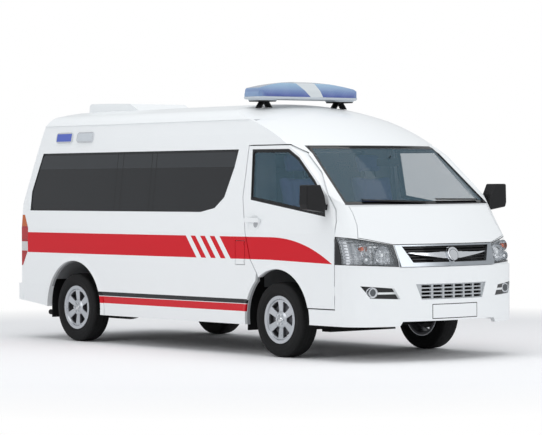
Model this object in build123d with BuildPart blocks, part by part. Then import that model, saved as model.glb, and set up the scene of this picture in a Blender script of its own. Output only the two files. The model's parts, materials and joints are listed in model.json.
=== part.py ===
from build123d import *
import os
from math import cos, radians, sin, sqrt

# An ambulance on a high-roof van, built from the panels, glass, lamps, seats,
# running gear and warning lights that its real counterpart is put together from.
# Millimetres. The front faces -Y, the vehicle's left is +X, up is +Z, and the
# origin lies on the ground under the middle of the vehicle.
os.makedirs("parts", exist_ok=True)

# Overall sizes
overall_length = 5380
nose_y = -overall_length / 2
tail_y = overall_length / 2
body_half_width = 940
roof_height = 2240
seam = 0.4
door_gap = 10
lid_gap = 6
cowl_gap = 10

# Walls of the body
side_wall = 45
roof_wall = 35
nose_wall = 45
bonnet_wall = 22
glass_inset = 5
glass_thickness = 6

# Wheels and axles
front_axle_y = -1440
wheelbase = 3110
rear_axle_y = front_axle_y + wheelbase
tyre_radius = 327
tyre_width = 195
rim_radius = 208
track_front = 1655
track_rear = 1650
kingpin_inset = 60
front_arch_radius = 440
rear_arch_radius = 450

# Side of the body, half the width at each height: half_width, height
sill_height = 269
crease_height = 1079
drip_height = 2078
section_rows = [
    (925, sill_height),
    (body_half_width, 493),
    (body_half_width, crease_height),
    (921, 1265),
    (857, 1802),
    (836, 1950),
    (812, drip_height),
]
roof_edge = (752, 2142)
roof_shoulder = (650, 2178)

# Faces of the nose and tail, each a curved plane leaning back from the upright:
# along, height, lean, bow radius, corner radius
nose_rows = [
    (nose_y + 20, 500, 0, 1900, 270),
    (-2676, 829, 18.4, 2000, 250),
    (-2390, 1320, 34.6, 2200, 220),
    (-2370, 1337, 51.8, 2200, 0),
]
tail_lean = 19
tail_lean_height = 1230
tail_rows = [
    (tail_y - 50, 500, 0, 7000, 100),
    (tail_y - 50, tail_lean_height, tail_lean, 16000, 95),
]

# Forehead of the roof: an arc turned about an upright line
forehead_axis_y = -10
forehead_start_y = -290
forehead_radius = 2800
forehead_turn = 31

# Front door outline, and windows
door_bottom = 445
door_front_y = -2215
belt_height = 1265
window_top = 1802


def side_slab(points, low_x, high_x):
    """A prism across the vehicle from an outline of (along, height) points."""
    with BuildPart() as slab:
        with BuildSketch(Plane.YZ.offset(low_x)):
            with BuildLine():
                Polyline(*points, close=True)
            make_face()
        extrude(amount=high_x - low_x)
    return slab.part


def front_slab(points, low_y, high_y, radius=0):
    """A prism along the vehicle from an outline of (across, height) points."""
    with BuildPart() as slab:
        with BuildSketch(Plane.XZ.offset(-high_y)):
            with BuildLine():
                Polyline(*points, close=True)
            make_face()
            if radius:
                fillet(vertices(), radius)
        extrude(amount=high_y - low_y)
    return slab.part


def end_prism(along, height, lean, bow, corner, inset, side):
    """Everything behind one curved face of the nose, or ahead of one of the tail."""
    across = Vector(0, side * sin(radians(lean)), cos(radians(lean)))
    half = body_half_width + 3 - inset if corner else 1300
    radius = bow / cos(radians(lean))
    sag = radius - sqrt(radius * radius - half * half)
    plane = Plane(origin=(0, along, height), x_dir=(1, 0, 0), z_dir=across)
    with BuildPart() as prism:
        with BuildSketch(plane):
            with BuildLine():
                ThreePointArc(
                    (-half, side * (sag + inset)), (0, side * inset), (half, side * (sag + inset))
                )
                Polyline(
                    (half, side * (sag + inset)),
                    (half, side * 9000),
                    (-half, side * 9000),
                    (-half, side * (sag + inset)),
                )
            make_face()
            if corner:
                fillet(vertices().sort_by(Axis.Y)[:2], corner - 0.8 * inset)
        extrude(amount=9000, both=True)
    return prism.part


def forehead(inset):
    """The roof seen from the side: a dome over the windscreen and a long flat top."""
    top = roof_height - inset
    with BuildPart() as dome:
        with BuildSketch(Plane.YZ):
            with BuildLine():
                brow = JernArc((forehead_start_y, top), (-1, 0), forehead_radius, forehead_turn)
                visor = Line(brow @ 1, brow @ 1 + (brow % 1) * 1200)
                Polyline(
                    visor @ 1,
                    ((visor @ 1).X, 100),
                    (forehead_axis_y, 100),
                    (forehead_axis_y, top),
                    (forehead_start_y, top),
                )
            make_face()
        revolve(axis=Axis((0, forehead_axis_y, 0), (0, 0, 1)))
        with BuildSketch(Plane.YZ.offset(-1000)):
            with BuildLine():
                ThreePointArc((forehead_axis_y, top), (1200, top - 5), (2800, top - 37))
                Polyline(
                    (2800, top - 37), (2800, 100), (forehead_axis_y, 100), (forehead_axis_y, top)
                )
            make_face()
        extrude(amount=2000)
    return dome.part


def body_volume(inset, roof_inset, end_inset):
    """The whole body as one solid, drawn in by a wall's thickness."""
    side = [(half - inset, height) for half, height in section_rows]
    side[0] = (side[0][0], sill_height - (300 if inset else 0))
    drip = (section_rows[-1][0] - 0.8 * inset, drip_height - 0.6 * roof_inset)
    side[-1] = drip
    edge = (roof_edge[0] - 0.75 * inset, roof_edge[1] - 0.8 * roof_inset)
    shoulder = (roof_shoulder[0] - 0.5 * inset, roof_shoulder[1] - roof_inset)
    crown = (0, roof_height - roof_inset)
    with BuildPart() as volume:
        with BuildSketch(Plane.XZ.offset(3000)):
            with BuildLine():
                right = Polyline(*side)
                ThreePointArc(drip, edge, shoulder)
                ThreePointArc(shoulder, crown, (-shoulder[0], shoulder[1]))
                ThreePointArc((-shoulder[0], shoulder[1]), (-edge[0], edge[1]), (-drip[0], drip[1]))
                left = Polyline(*[(-half, height) for half, height in reversed(side)])
                Line(left @ 1, right @ 0)
            make_face()
        extrude(amount=-6000)
        add(forehead(roof_inset), mode=Mode.INTERSECT)
        for along, height, lean, bow, corner in nose_rows:
            add(end_prism(along, height, lean, bow, corner, end_inset, 1), mode=Mode.INTERSECT)
        for along, height, lean, bow, corner in tail_rows:
            rounding = 0 if inset else corner
            add(end_prism(along, height, lean, bow, rounding, end_inset, -1), mode=Mode.INTERSECT)
    return volume.part


def arch_flare(axle_y, radius):
    """The raised lip round a wheel arch, on the right side."""
    flare_width, flare_height = 46, 7
    with BuildPart() as lip:
        with BuildSketch(Plane.XY):
            with BuildLine():
                Polyline(
                    (-body_half_width + 20, radius - 1),
                    (-body_half_width - flare_height, radius - 1),
                    (-body_half_width - flare_height, radius + 10),
                    (-body_half_width, radius + flare_width),
                    (-body_half_width + 20, radius + flare_width),
                    close=True,
                )
            make_face()
        revolve(axis=Axis.X)
        with Locations((-body_half_width, 0, 445)):
            Box(100, 1200, 1000, mode=Mode.INTERSECT)
    return Pos(0, axle_y, tyre_radius) * lip.part


outer = body_volume(0, 0, 0)
inner = body_volume(side_wall, roof_wall, nose_wall)
with BuildPart() as shell_block:
    add(outer)
    for axle_y, radius in ((front_axle_y, front_arch_radius), (rear_axle_y, rear_arch_radius)):
        lip = arch_flare(axle_y, radius)
        add(lip)
        add(mirror(lip, about=Plane.YZ))
    add(inner, mode=Mode.SUBTRACT)
shell = shell_block.part


def band(low_y, high_y, low_z, high_z, low_x=-1000, high_x=1000):
    """A plain box given by its lowest and highest place along each direction."""
    with BuildPart() as block:
        with Locations(((low_x + high_x) / 2, (low_y + high_y) / 2, (low_z + high_z) / 2)):
            Box(high_x - low_x, high_y - low_y, high_z - low_z)
    return block.part


def wheel_cut(axle_y, radius, low_x, high_x):
    """The round hole that a wheel arch makes in a side."""
    with BuildPart() as cut:
        with BuildSketch(Plane.YZ.offset(low_x)):
            with Locations((axle_y, tyre_radius)):
                Circle(radius)
        extrude(amount=high_x - low_x)
    return cut.part


def window_slab(points, radius, low_x, high_x):
    """A side window's hole, or its glass, with rounded corners."""
    with BuildPart() as slab:
        with BuildSketch(Plane.YZ.offset(low_x)):
            with BuildLine():
                Polyline(*points, close=True)
            make_face()
            fillet(vertices(), radius)
        extrude(amount=high_x - low_x)
    return slab.part


def grown(points, amount):
    """An outline moved outwards by a clearance, or inwards by a negative one."""
    with BuildSketch() as sketch:
        with BuildLine():
            Polyline(*points, close=True)
        make_face()
        offset(amount=amount, kind=Kind.INTERSECTION)
    corners = sketch.sketch.faces()[0].outer_wire().order_edges()
    return [(vertex.X, vertex.Y) for vertex in [edge.vertices()[0] for edge in corners]]


def end_skin(row, outer_inset, thickness, side):
    """A sheet that follows one curved face of the nose or tail."""
    along, height, lean, bow, corner = row
    with BuildPart() as sheet:
        add(end_prism(along, height, lean, bow, corner, outer_inset, side))
        add(
            end_prism(along, height, lean, bow, corner, outer_inset + thickness, side),
            mode=Mode.SUBTRACT,
        )
    return sheet.part


def side_skin(points, radius, outer_inset, thickness, side):
    """A pane in the leaning upper side of the body, from its (along, height) outline."""
    low_half, low_z = section_rows[3]
    high_half, high_z = section_rows[4]
    slope = (low_half - high_half) / (high_z - low_z)
    reach = 200
    foot = low_half + slope * reach - outer_inset
    head = high_half - slope * reach - outer_inset
    with BuildPart() as pane:
        with BuildSketch(Plane.XZ.offset(3000)):
            with BuildLine():
                Polyline(
                    (side * foot, low_z - reach),
                    (side * head, high_z + reach),
                    (side * (head - thickness), high_z + reach),
                    (side * (foot - thickness), low_z - reach),
                    close=True,
                )
            make_face()
        extrude(amount=-6000)
        add(window_slab(points, radius, -1000, 1000), mode=Mode.INTERSECT)
    return pane.part


# Front doors: outline of the panel, its window, and the wheel arch below
door_points = [
    (-955, 1846),
    (-929, 1392),
    (-999, 1079),
    (-1068, 845),
    (-1186, 690),
    (-1186, tyre_radius),
    (door_front_y, tyre_radius),
    (door_front_y, 1180),
    (-2185, 1280),
    (-2104, 1392),
    (-1886, 1598),
    (-1670, 1772),
    (-1500, 1846),
]
door_window = [(-1056, 1378), (-1023, 1799), (-1512, 1796), (-1660, 1722), (-1896, 1526)]
door_window += [(-2040, 1370), (-2065, 1240)]
door_hole = side_slab(grown(door_points, door_gap / 2), -1000, 1000)
door_bottom_cut = band(-2400, -900, 0, door_bottom)
front_arch = wheel_cut(front_axle_y, front_arch_radius, -1000, 1000)
rear_arch = wheel_cut(rear_axle_y, rear_arch_radius, -1000, 1000)


bumper_top = 796
grille_row, bonnet_row, windscreen_row = nose_rows[1], nose_rows[2], nose_rows[3]
bumper_row = (nose_y, 500, 0, 1900, 270)

# Outlines seen from the front: across, height
windscreen_points = [(-812, 1334), (812, 1334), (722, 1828), (-722, 1828)]
bonnet_side = [(836, 1050), (802, 1150), (792, 1250), (800, 1345)]
bonnet_points = [(-566, 992), (566, 992), *bonnet_side]
bonnet_points += [(-across, height) for across, height in reversed(bonnet_side)]
lamp_points = [(545, 802), (945, 820), (945, 1058), (568, 985)]
surround_points = [(-562, 985), (562, 985), (538, 802), (-538, 802)]
mouth_points = [(-498, 973), (498, 973), (422, 835), (-422, 835)]
chin_points = [(-565, 280), (565, 280), (525, 340), (-525, 340)]
lower_mouth = [(-405, 654), (405, 654), (350, 522), (-350, 522)]
fog_points = [(546, 530), (800, 540), (868, 645), (600, 622)]
tailgate_points = [(-800, 575), (800, 575), (800, 1230), (735, 2056), (-735, 2056), (-800, 1230)]
tailgate_window = [(-690, 1290), (690, 1290), (640, 1800), (-640, 1800)]
tail_lamp_points = [(812, 714), (945, 714), (945, 1213), (812, 1213)]
tail_lamp_side = [(2720, 1230), (2545, 1230), (2462, 1082), (2475, 850), (2565, 700), (2720, 700)]

# Outlines seen from the side: along, height
roof_line = [(-1662, 1828), (-1241, 2018), (-1059, drip_height)]
roof_points = [(-2400, 1828), *roof_line, (3000, drip_height), (3000, 2400), (-2400, 2400)]
forehead_points = [(-2400, 1828), (-1059, 1828), (-1059, 2400), (-2400, 2400)]
side_points = [(-1615, 1850), *roof_line[1:], (2720, drip_height), (2720, 200)]
side_points += [(-1150, 200), (-1150, 1850)]
side_window = [(-805, 1808), (-765, 1655), (-655, 1392), (-530, 1298), (-330, 1262)]
side_window += [(2440, 1262), (2440, 1440), (2300, 1808)]
slider_points = [(-870, 345), (430, 345), (430, 2030), (-870, 2030)]
slider_window = [(-800, window_top), (-790, belt_height), (350, belt_height), (350, window_top)]
left_window = [(500, window_top), (500, belt_height), (2400, belt_height), (2150, window_top)]
fuel_hole_points = [(-996, 793), (-855, 793), (-855, 1008), (-996, 1008)]
fuel_pin_y, fuel_pin_radius = -987.5, 2.2
fuel_lug_heights = [815, 971]
bumper_side = [(1900, 300), (2720, 388), (2720, 542), (1900, 512)]
bumper_side_cut = [(1900, 200), (2720, 200), (2720, 542), (1900, 512)]


def ahead_of_cowl(along):
    """Everything ahead of the bonnet's rear edge, which is bowed like its face."""
    reach = 1000
    lean, bow = bonnet_row[2], bonnet_row[3]
    radius = bow / cos(radians(lean))
    sag = (radius - sqrt(radius * radius - reach * reach)) / cos(radians(lean))
    with BuildPart() as zone:
        with BuildSketch(Plane.XY.offset(900)):
            with BuildLine():
                ThreePointArc((-reach, along + sag), (0, along), (reach, along + sag))
                Polyline((reach, along + sag), (reach, -3000), (-reach, -3000), (-reach, along + sag))
            make_face()
        extrude(amount=600)
    return zone.part


def mirrored(piece):
    """The same piece on the other side of the vehicle."""
    return mirror(piece, about=Plane.YZ)


def inset_by(points, amount):
    return grown(points, -amount)


tailgate_hole = front_slab(grown(tailgate_points, lid_gap), 2200, 2800)
with BuildPart() as lamp_opening:
    add(front_slab(grown(tail_lamp_points, seam), 2400, 2800))
    add(side_slab(grown(tail_lamp_side, seam), 0, 1000), mode=Mode.INTERSECT)
lamp_hole = lamp_opening.part
with BuildPart() as roof_zone:
    add(side_slab(roof_points, -1000, 1000))
    add(side_slab(forehead_points, -745, 745))
roof_region = roof_zone.part
with BuildPart() as roof_zone_grown:
    add(side_slab(grown(roof_points, seam), -1000, 1000))
    add(side_slab(grown(forehead_points, seam), -745 - seam, 745 + seam))
roof_hole = roof_zone_grown.part
windscreen_hole = front_slab(grown(windscreen_points, seam), -2700, -1200, 30)
with BuildPart() as bonnet_opening:
    add(front_slab(grown(bonnet_points, lid_gap), -2700, -2000))
    add(ahead_of_cowl(bonnet_row[0] + cowl_gap / 2), mode=Mode.INTERSECT)
bonnet_hole = bonnet_opening.part
rear_bumper_hole = side_slab(grown(bumper_side_cut, seam), -1000, 1000)

# Roof, with the rain gutter along its lower edge
gutter_line = [(-1668, 1838), (-1244, 2030), (-1063, drip_height + 13)]
gutter_points = [*roof_line, (3000, drip_height), (3000, drip_height + 13), *reversed(gutter_line)]
with BuildPart() as gutter:
    add(body_volume(-9, 0, 0))
    add(side_slab(gutter_points, -1000, 1000), mode=Mode.INTERSECT)
    add(body_volume(5, 0, 0), mode=Mode.SUBTRACT)
    add(band(-1680, 3000, 1700, 2300, -745, 745), mode=Mode.SUBTRACT)
with BuildPart() as roof_shell:
    add(shell)
    add(roof_region, mode=Mode.INTERSECT)
    add(gutter.part)
    add(windscreen_hole, mode=Mode.SUBTRACT)

# Sides behind the front doors
side_panel_holes = [roof_hole, door_hole, front_arch, rear_arch, tailgate_hole]
side_panel_holes += [lamp_hole, rear_bumper_hole]
with BuildPart() as side_panel_right:
    add(shell)
    add(side_slab(side_points, -1000, -seam / 2), mode=Mode.INTERSECT)
    for hole in side_panel_holes:
        add(hole, mode=Mode.SUBTRACT)
    add(mirrored(lamp_hole), mode=Mode.SUBTRACT)
    add(window_slab(side_window, 60, -1000, 0), mode=Mode.SUBTRACT)
    add(side_slab(fuel_hole_points, -1000, -915), mode=Mode.SUBTRACT)
    for low_z in fuel_lug_heights:
        add(band(-998, fuel_pin_y - fuel_pin_radius - 0.3, low_z, low_z + 15, -940, -930))
    with BuildSketch(Plane.YZ.offset(-930)):
        with Locations((-925, 900)):
            Circle(34)
    extrude(amount=20)
with BuildPart() as side_panel_left:
    add(shell)
    add(side_slab(side_points, seam / 2, 1000), mode=Mode.INTERSECT)
    for hole in side_panel_holes:
        add(hole, mode=Mode.SUBTRACT)
    add(side_slab(grown(slider_points, seam), 500, 1000), mode=Mode.SUBTRACT)
    add(window_slab(left_window, 60, 500, 1000), mode=Mode.SUBTRACT)

# Pillars, wings and the panel under the windscreen
with BuildPart() as cab_frame:
    add(shell)
    add(band(-2700, -1150, bumper_top, drip_height), mode=Mode.INTERSECT)
    for hole in (roof_hole, door_hole, bonnet_hole, windscreen_hole):
        add(hole, mode=Mode.SUBTRACT)
    add(side_slab(grown(side_points, seam), -1000, 1000), mode=Mode.SUBTRACT)
    add(front_slab(grown(lamp_points, seam), -2700, -2200), mode=Mode.SUBTRACT)
    add(mirrored(front_slab(grown(lamp_points, seam), -2700, -2200)), mode=Mode.SUBTRACT)
    add(front_slab(grown(surround_points, seam), -2700, -2200), mode=Mode.SUBTRACT)

# Front doors, hinged at their front edges
with BuildPart() as door_shell_right:
    add(shell)
    add(side_slab(grown(door_points, -door_gap / 2), -1000, -755), mode=Mode.INTERSECT)
    add(door_bottom_cut, mode=Mode.SUBTRACT)
    add(front_arch, mode=Mode.SUBTRACT)
    add(window_slab(door_window, 45, -1000, 0), mode=Mode.SUBTRACT)
door_shell_left = mirrored(door_shell_right.part)
door_glass_right = side_skin(inset_by(door_window, seam), 45, glass_inset, glass_thickness, -1)
door_glass_left = mirrored(door_glass_right)

# Fixed side windows and the sliding door
side_glass_right = side_skin(inset_by(side_window, seam), 60, glass_inset, glass_thickness, -1)
side_glass_left = side_skin(inset_by(left_window, seam), 60, glass_inset, glass_thickness, 1)
with BuildPart() as sliding_door:
    add(shell)
    add(side_slab(slider_points, 500, 1000), mode=Mode.INTERSECT)
    add(window_slab(slider_window, 45, 500, 1000), mode=Mode.SUBTRACT)
sliding_glass = side_skin(inset_by(slider_window, seam), 45, glass_inset, glass_thickness, 1)

# Windscreen and bonnet
with BuildPart() as windscreen:
    add(end_skin(windscreen_row, glass_inset, glass_thickness, 1))
    add(front_slab(windscreen_points, -2700, -1200, 30), mode=Mode.INTERSECT)
with BuildPart() as bonnet:
    add(end_skin(bonnet_row, 0, bonnet_wall, 1))
    add(end_prism(*grille_row, 0, 1), mode=Mode.INTERSECT)
    add(front_slab(bonnet_points, -2700, -2000), mode=Mode.INTERSECT)
    add(ahead_of_cowl(bonnet_row[0] - cowl_gap / 2), mode=Mode.INTERSECT)

# Tailgate, one piece, hinged at its top edge
with BuildPart() as tailgate_shell:
    add(shell)
    add(front_slab(tailgate_points, 2200, 2800), mode=Mode.INTERSECT)
    add(front_slab(tailgate_window, 2200, 2800, 50), mode=Mode.SUBTRACT)
with BuildPart() as tailgate_glass:
    add(end_skin(tail_rows[1], glass_inset, glass_thickness, -1))
    add(
        front_slab(inset_by(tailgate_window, seam), 2200, 2800, 50), mode=Mode.INTERSECT
    )

# Tail lamps at the rear corners
with BuildPart() as tail_lamps:
    add(shell)
    add(front_slab(tail_lamp_points, 2400, 2800), mode=Mode.INTERSECT)
    add(side_slab(tail_lamp_side, 0, 1000), mode=Mode.INTERSECT)
tail_lamps_pair = Compound([tail_lamps.part, mirrored(tail_lamps.part)])

# Headlamps
with BuildPart() as headlamp_left:
    add(shell)
    add(front_slab(lamp_points, -2700, door_front_y - door_gap / 2), mode=Mode.INTERSECT)
    add(band(-2700, -2000, bumper_top + seam, 1100), mode=Mode.INTERSECT)
headlamp_right = mirrored(headlamp_left.part)

# Grille: bright surround with its wing bar and disc, and the dark bars behind
with BuildPart() as grille_surround:
    add(end_skin(grille_row, -6, 40, 1))
    add(front_slab(surround_points, -2800, -2200), mode=Mode.INTERSECT)
    add(front_slab(mouth_points, -2800, -2200), mode=Mode.SUBTRACT)
grille_bar_pitch, grille_bar_depth = 24, 12
wing_points = [(-460, 923), (-300, 912), (-130, 922), (-62, 940), (62, 940), (130, 922), (300, 912)]
wing_points += [(460, 923), (300, 884), (130, 872), (62, 856), (-62, 856), (-130, 872), (-300, 884)]
with BuildPart() as grille_insert:
    add(end_skin(grille_row, 14, 16, 1))
    add(front_slab(inset_by(mouth_points, 2 * seam), -2800, -2200), mode=Mode.INTERSECT)
    for row in range(5):
        low_z = 844 + row * grille_bar_pitch
        half = 415 + row * 14
        add(band(-2800, -2000, low_z, low_z + grille_bar_depth, -half, half), mode=Mode.SUBTRACT)
with BuildPart() as grille_wing:
    add(end_skin(grille_row, -2, 17, 1))
    add(front_slab(wing_points, -2800, -2200), mode=Mode.INTERSECT)
with BuildPart() as grille_disc:
    with BuildSketch(Plane(origin=(0, -2640, 897), x_dir=(1, 0, 0), z_dir=(0, -0.949, 0.316))):
        Circle(62)
    extrude(amount=38)
    fillet(grille_disc.edges().sort_by(Axis.Y)[0], 8)
with BuildPart() as grille_middle:
    add(grille_insert.part)
    add(grille_wing.part)
    add(grille_disc.part)

# Front bumper with its lower grille and fog lamps
with BuildPart() as front_bumper:
    add(end_prism(*bumper_row, 0, 1))
    add(end_prism(*bumper_row, nose_wall, 1), mode=Mode.SUBTRACT)
    add(band(-2700, -1860, 300, bumper_top, -940, 940), mode=Mode.INTERSECT)
    add(front_slab(lower_mouth, -2800, -2200), mode=Mode.SUBTRACT)
    add(front_slab(chin_points, -2800, -1800), mode=Mode.SUBTRACT)
    for side in (-1, 1):
        points = [(side * across, height) for across, height in fog_points]
        add(front_slab(points, -2800, -2200), mode=Mode.SUBTRACT)
    add(
        band(door_front_y - door_gap / 2, 0, door_bottom - door_gap, 1000), mode=Mode.SUBTRACT
    )
    add(front_arch, mode=Mode.SUBTRACT)

with BuildPart() as lower_grille:
    add(end_skin(bumper_row, 12, 22, 1))
    add(front_slab(inset_by(lower_mouth, seam), -2800, -2200), mode=Mode.INTERSECT)
    for row in range(4):
        for column in range(6):
            x = (column - 2.5) * 118
            z = 541 + row * 31
            add(band(-2800, -2200, z - 10, z + 10, x - 48, x + 48), mode=Mode.SUBTRACT)
with BuildPart() as fog_lamp:
    add(end_skin(bumper_row, 30, 14, 1))
    add(front_slab(inset_by(fog_points, seam), -2800, -2200), mode=Mode.INTERSECT)
    with BuildSketch(Plane.XZ.offset(2470)):
        with Locations((768, 588)):
            Circle(40)
    extrude(amount=40)
    add(end_prism(*bumper_row, 6, 1), mode=Mode.INTERSECT)
fog_lamps = Compound([fog_lamp.part, mirrored(fog_lamp.part)])

# Rear bumper: a bar behind the body that wraps round to the wheel arches
with BuildPart() as rear_bumper:
    add(end_prism(tail_y, 500, 0, 7000, 90, 0, -1))
    add(end_prism(tail_y, 500, 0, 7000, 0, 60, -1), mode=Mode.SUBTRACT)
    add(band(2500, 2700, 300, 600, -body_half_width, body_half_width), mode=Mode.INTERSECT)
    add(shell)
    add(side_slab(bumper_side, -1000, 1000), mode=Mode.INTERSECT)
    add(rear_arch, mode=Mode.SUBTRACT)


def write(piece, name):
    """Label a finished piece and write it to its own file."""
    piece.label = name
    export_step(piece, "parts/" + name + ".step")


def both_sides(piece):
    """A pair of like pieces, one on each side, kept in one node."""
    return Compound([piece, mirrored(piece)])


# Floor: one pressed sheet that steps up over the front wheels and engine
footwell_height = 500
seat_step_height = 800
load_floor_height = 590
floor_sheet = 26
wheelhouse_x = 545
bulkhead_front, bulkhead_rear = -918, -884
bulkhead_foot = load_floor_height + floor_sheet - 1 + seam
floor_profile = [
    (-2560, footwell_height),
    (-1930, footwell_height),
    (-1930, seat_step_height),
    (-960, seat_step_height),
    (-960, load_floor_height),
    (2560, load_floor_height),
]
inner_half = body_half_width - side_wall - seam
with BuildPart() as floor_pan:
    with BuildSketch(Plane.YZ.offset(-inner_half)):
        with BuildLine():
            route = Polyline(*floor_profile)
            offset(route, amount=floor_sheet, side=Side.LEFT)
        make_face()
    extrude(amount=2 * inner_half)
    add(body_volume(side_wall + seam, roof_wall, nose_wall + seam), mode=Mode.INTERSECT)
    add(
        band(bulkhead_front - seam, bulkhead_rear + seam, bulkhead_foot - seam, 2 * load_floor_height),
        mode=Mode.SUBTRACT,
    )
    for side in (-1, 1):
        low_x, high_x = sorted((side * (wheelhouse_x - seam), side * 950))
        add(wheel_cut(rear_axle_y, rear_arch_radius + seam, low_x, high_x), mode=Mode.SUBTRACT)

# Wheelhouses: half drums over the wheels, open below
with BuildPart() as rear_wheelhouse:
    with BuildSketch(Plane.YZ.offset(wheelhouse_x)):
        with Locations((rear_axle_y, tyre_radius)):
            Circle(rear_arch_radius)
            Circle(rear_arch_radius - 8, mode=Mode.SUBTRACT)
    extrude(amount=inner_half - wheelhouse_x)
    with BuildSketch(Plane.YZ.offset(wheelhouse_x)):
        with Locations((rear_axle_y, tyre_radius)):
            Circle(rear_arch_radius)
    extrude(amount=8)
    add(band(0, 3000, load_floor_height, 1000), mode=Mode.INTERSECT)

# Chassis
rail_x = 430
rail_half = 30
rail_low, rail_high = 420, 500 - seam
outrigger_rows = [-700, 100, 900, 2250]
crossmember_rows = [
    (-2440, 440, 496),
    (-560, 421, 446),
    (300, 466, 496),
    (1060, 440, 496),
    (2520, 440, 496),
]
with BuildPart() as chassis_rails:
    for side in (-1, 1):
        inside, outside = side * rail_x - rail_half, side * rail_x + rail_half
        add(band(-2500, 2560, rail_low, rail_high, inside, outside))
        for along in outrigger_rows:
            low_x, high_x = sorted((side * rail_x, side * (inner_half - 20)))
            add(band(along - 35, along + 35, rail_high - 50, load_floor_height - seam, low_x, high_x))
    for along, low_z, high_z in crossmember_rows:
        add(band(along - 30, along + 30, low_z, high_z, -rail_x, rail_x))
    add(band(2500, 2572, rail_low + 10, rail_high - 10, -rail_x - 60, rail_x + 60))
    add(band(2550, 2595 - seam, rail_low + 10, rail_high - 10, -60, 60))
    add(band(2135, 2195, rail_low + 20, rail_high, -rail_x, rail_x))
    add(band(2145, 2185, 320 + seam, rail_high, -20, 20))

# Engine and gearbox under the seats
with BuildPart() as engine_block:
    with Locations((0, -1400, 600)):
        Box(440, 640, 360)
    with Locations((0, -1000, 500)):
        Box(260, 180, 150)
    with BuildSketch(Plane.XZ.offset(910)):
        with Locations((0, 500)):
            Circle(75)
    extrude(amount=-260)
    for side in (-1, 1):
        low_x, high_x = sorted((side * 200, side * 415))
        add(band(-1500, -1420, 560, 590, low_x, high_x))
        low_x, high_x = sorted((side * 405, side * 455))
        add(band(-1500, -1420, rail_high + seam, 590, low_x, high_x))

# Front suspension: a crossmember under the rails with upper and lower arms
front_half_track = track_front / 2
kingpin_x = front_half_track - kingpin_inset
lower_arm_z, upper_arm_z, arm_thickness = 232, 420, 22
with BuildPart() as front_suspension:
    add(band(front_axle_y - 60, front_axle_y + 60, 225, rail_low - seam, -360, -300))
    add(band(front_axle_y - 60, front_axle_y + 60, 225, rail_low - seam, 300, 360))
    add(band(front_axle_y - 60, front_axle_y + 60, 200, 270, -380, 380))
    add(band(front_axle_y - 55, front_axle_y + 55, 380, rail_low - seam, -450, 450))
    for side in (-1, 1):
        for height in (lower_arm_z, upper_arm_z - arm_thickness):
            with BuildSketch(Plane.XY.offset(height)):
                with BuildLine():
                    Polyline(
                        (side * 370, front_axle_y - 110),
                        (side * kingpin_x, front_axle_y - 24),
                        (side * (kingpin_x + 12), front_axle_y),
                        (side * kingpin_x, front_axle_y + 24),
                        (side * 370, front_axle_y + 110),
                        close=True,
                    )
                make_face()
            extrude(amount=arm_thickness)

# Steering knuckles between the arms, each with its stub axle
wheel_names = [("front", front_axle_y, track_front), ("rear", rear_axle_y, track_rear)]
with BuildPart() as knuckle:
    low = lower_arm_z + arm_thickness + seam
    high = upper_arm_z - arm_thickness - seam
    with BuildSketch(Plane.XY.offset(low)):
        with Locations((kingpin_x, front_axle_y)):
            Circle(24)
    extrude(amount=high - low)
    with BuildSketch(Plane.YZ.offset(kingpin_x)):
        with Locations((front_axle_y, tyre_radius)):
            Circle(34)
    extrude(amount=front_half_track - 32 - kingpin_x)
    with BuildSketch(Plane.YZ.offset(kingpin_x)):
        with Locations((front_axle_y, tyre_radius)):
            Circle(18)
    extrude(amount=front_half_track + 10 - kingpin_x)

# Wheels: tyre, and rim with its spokes, hub and brake drum
rim_width = 168
with BuildPart() as tyre_ring:
    with BuildSketch(Plane.XY):
        with BuildLine():
            half = tyre_width / 2
            bead = rim_radius - 6
            Polyline((-78, bead), (-78, 210), (-half + 4, 240), (-half, 268), (-half + 6, 300))
            ThreePointArc((-half + 6, 300), (-half + 14, 316), (-half + 32, tyre_radius - 3))
            ThreePointArc((-half + 32, tyre_radius - 3), (0, tyre_radius), (half - 32, tyre_radius - 3))
            ThreePointArc((half - 32, tyre_radius - 3), (half - 14, 316), (half - 6, 300))
            Polyline((half - 6, 300), (half, 268), (half - 4, 240), (78, 210), (78, bead), (-78, bead))
        make_face()
    revolve(axis=Axis.X)
spoke_count = 6
with BuildSketch() as spoke_window:
    with BuildLine():
        Polyline((74, -14), (156, -52), (164, 0), (156, 52), (74, 14), close=True)
    make_face()
    fillet(spoke_window.vertices(), 7)
with BuildPart() as rim_disc:
    with BuildSketch(Plane.XY):
        with BuildLine():
            Polyline(
                (-84, bead - seam),
                (-84, rim_radius),
                (-78.5, rim_radius),
                (-78.5, bead - seam),
                (78.5, bead - seam),
                (78.5, rim_radius),
                (84, rim_radius),
                (84, bead - 22),
                (60, bead - 34),
                (-60, bead - 34),
                (-84, bead - 22),
                close=True,
            )
        make_face()
    revolve(axis=Axis.X)
    with BuildSketch(Plane.XY):
        with BuildLine():
            Polyline(
                (54, 0), (76, 0), (76, 60), (64, 78), (72, 172), (48, 172), (40, 78), (40, 19), (54, 19),
                close=True,
            )
        make_face()
    revolve(axis=Axis.X)
    with BuildSketch(Plane.YZ.offset(-100)):
        with PolarLocations(0, spoke_count):
            add(spoke_window.sketch)
    extrude(amount=220, mode=Mode.SUBTRACT)
    with BuildSketch(Plane.YZ.offset(-30)):
        Circle(135)
        Circle(19, mode=Mode.SUBTRACT)
    extrude(amount=71)


def wheel_at(piece, side, axle_y, track):
    """A wheel's piece put on its axle, outer face outwards."""
    turned = piece if side > 0 else piece.rotate(Axis.Z, 180)
    return Pos(side * track / 2, axle_y, tyre_radius) * turned


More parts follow.
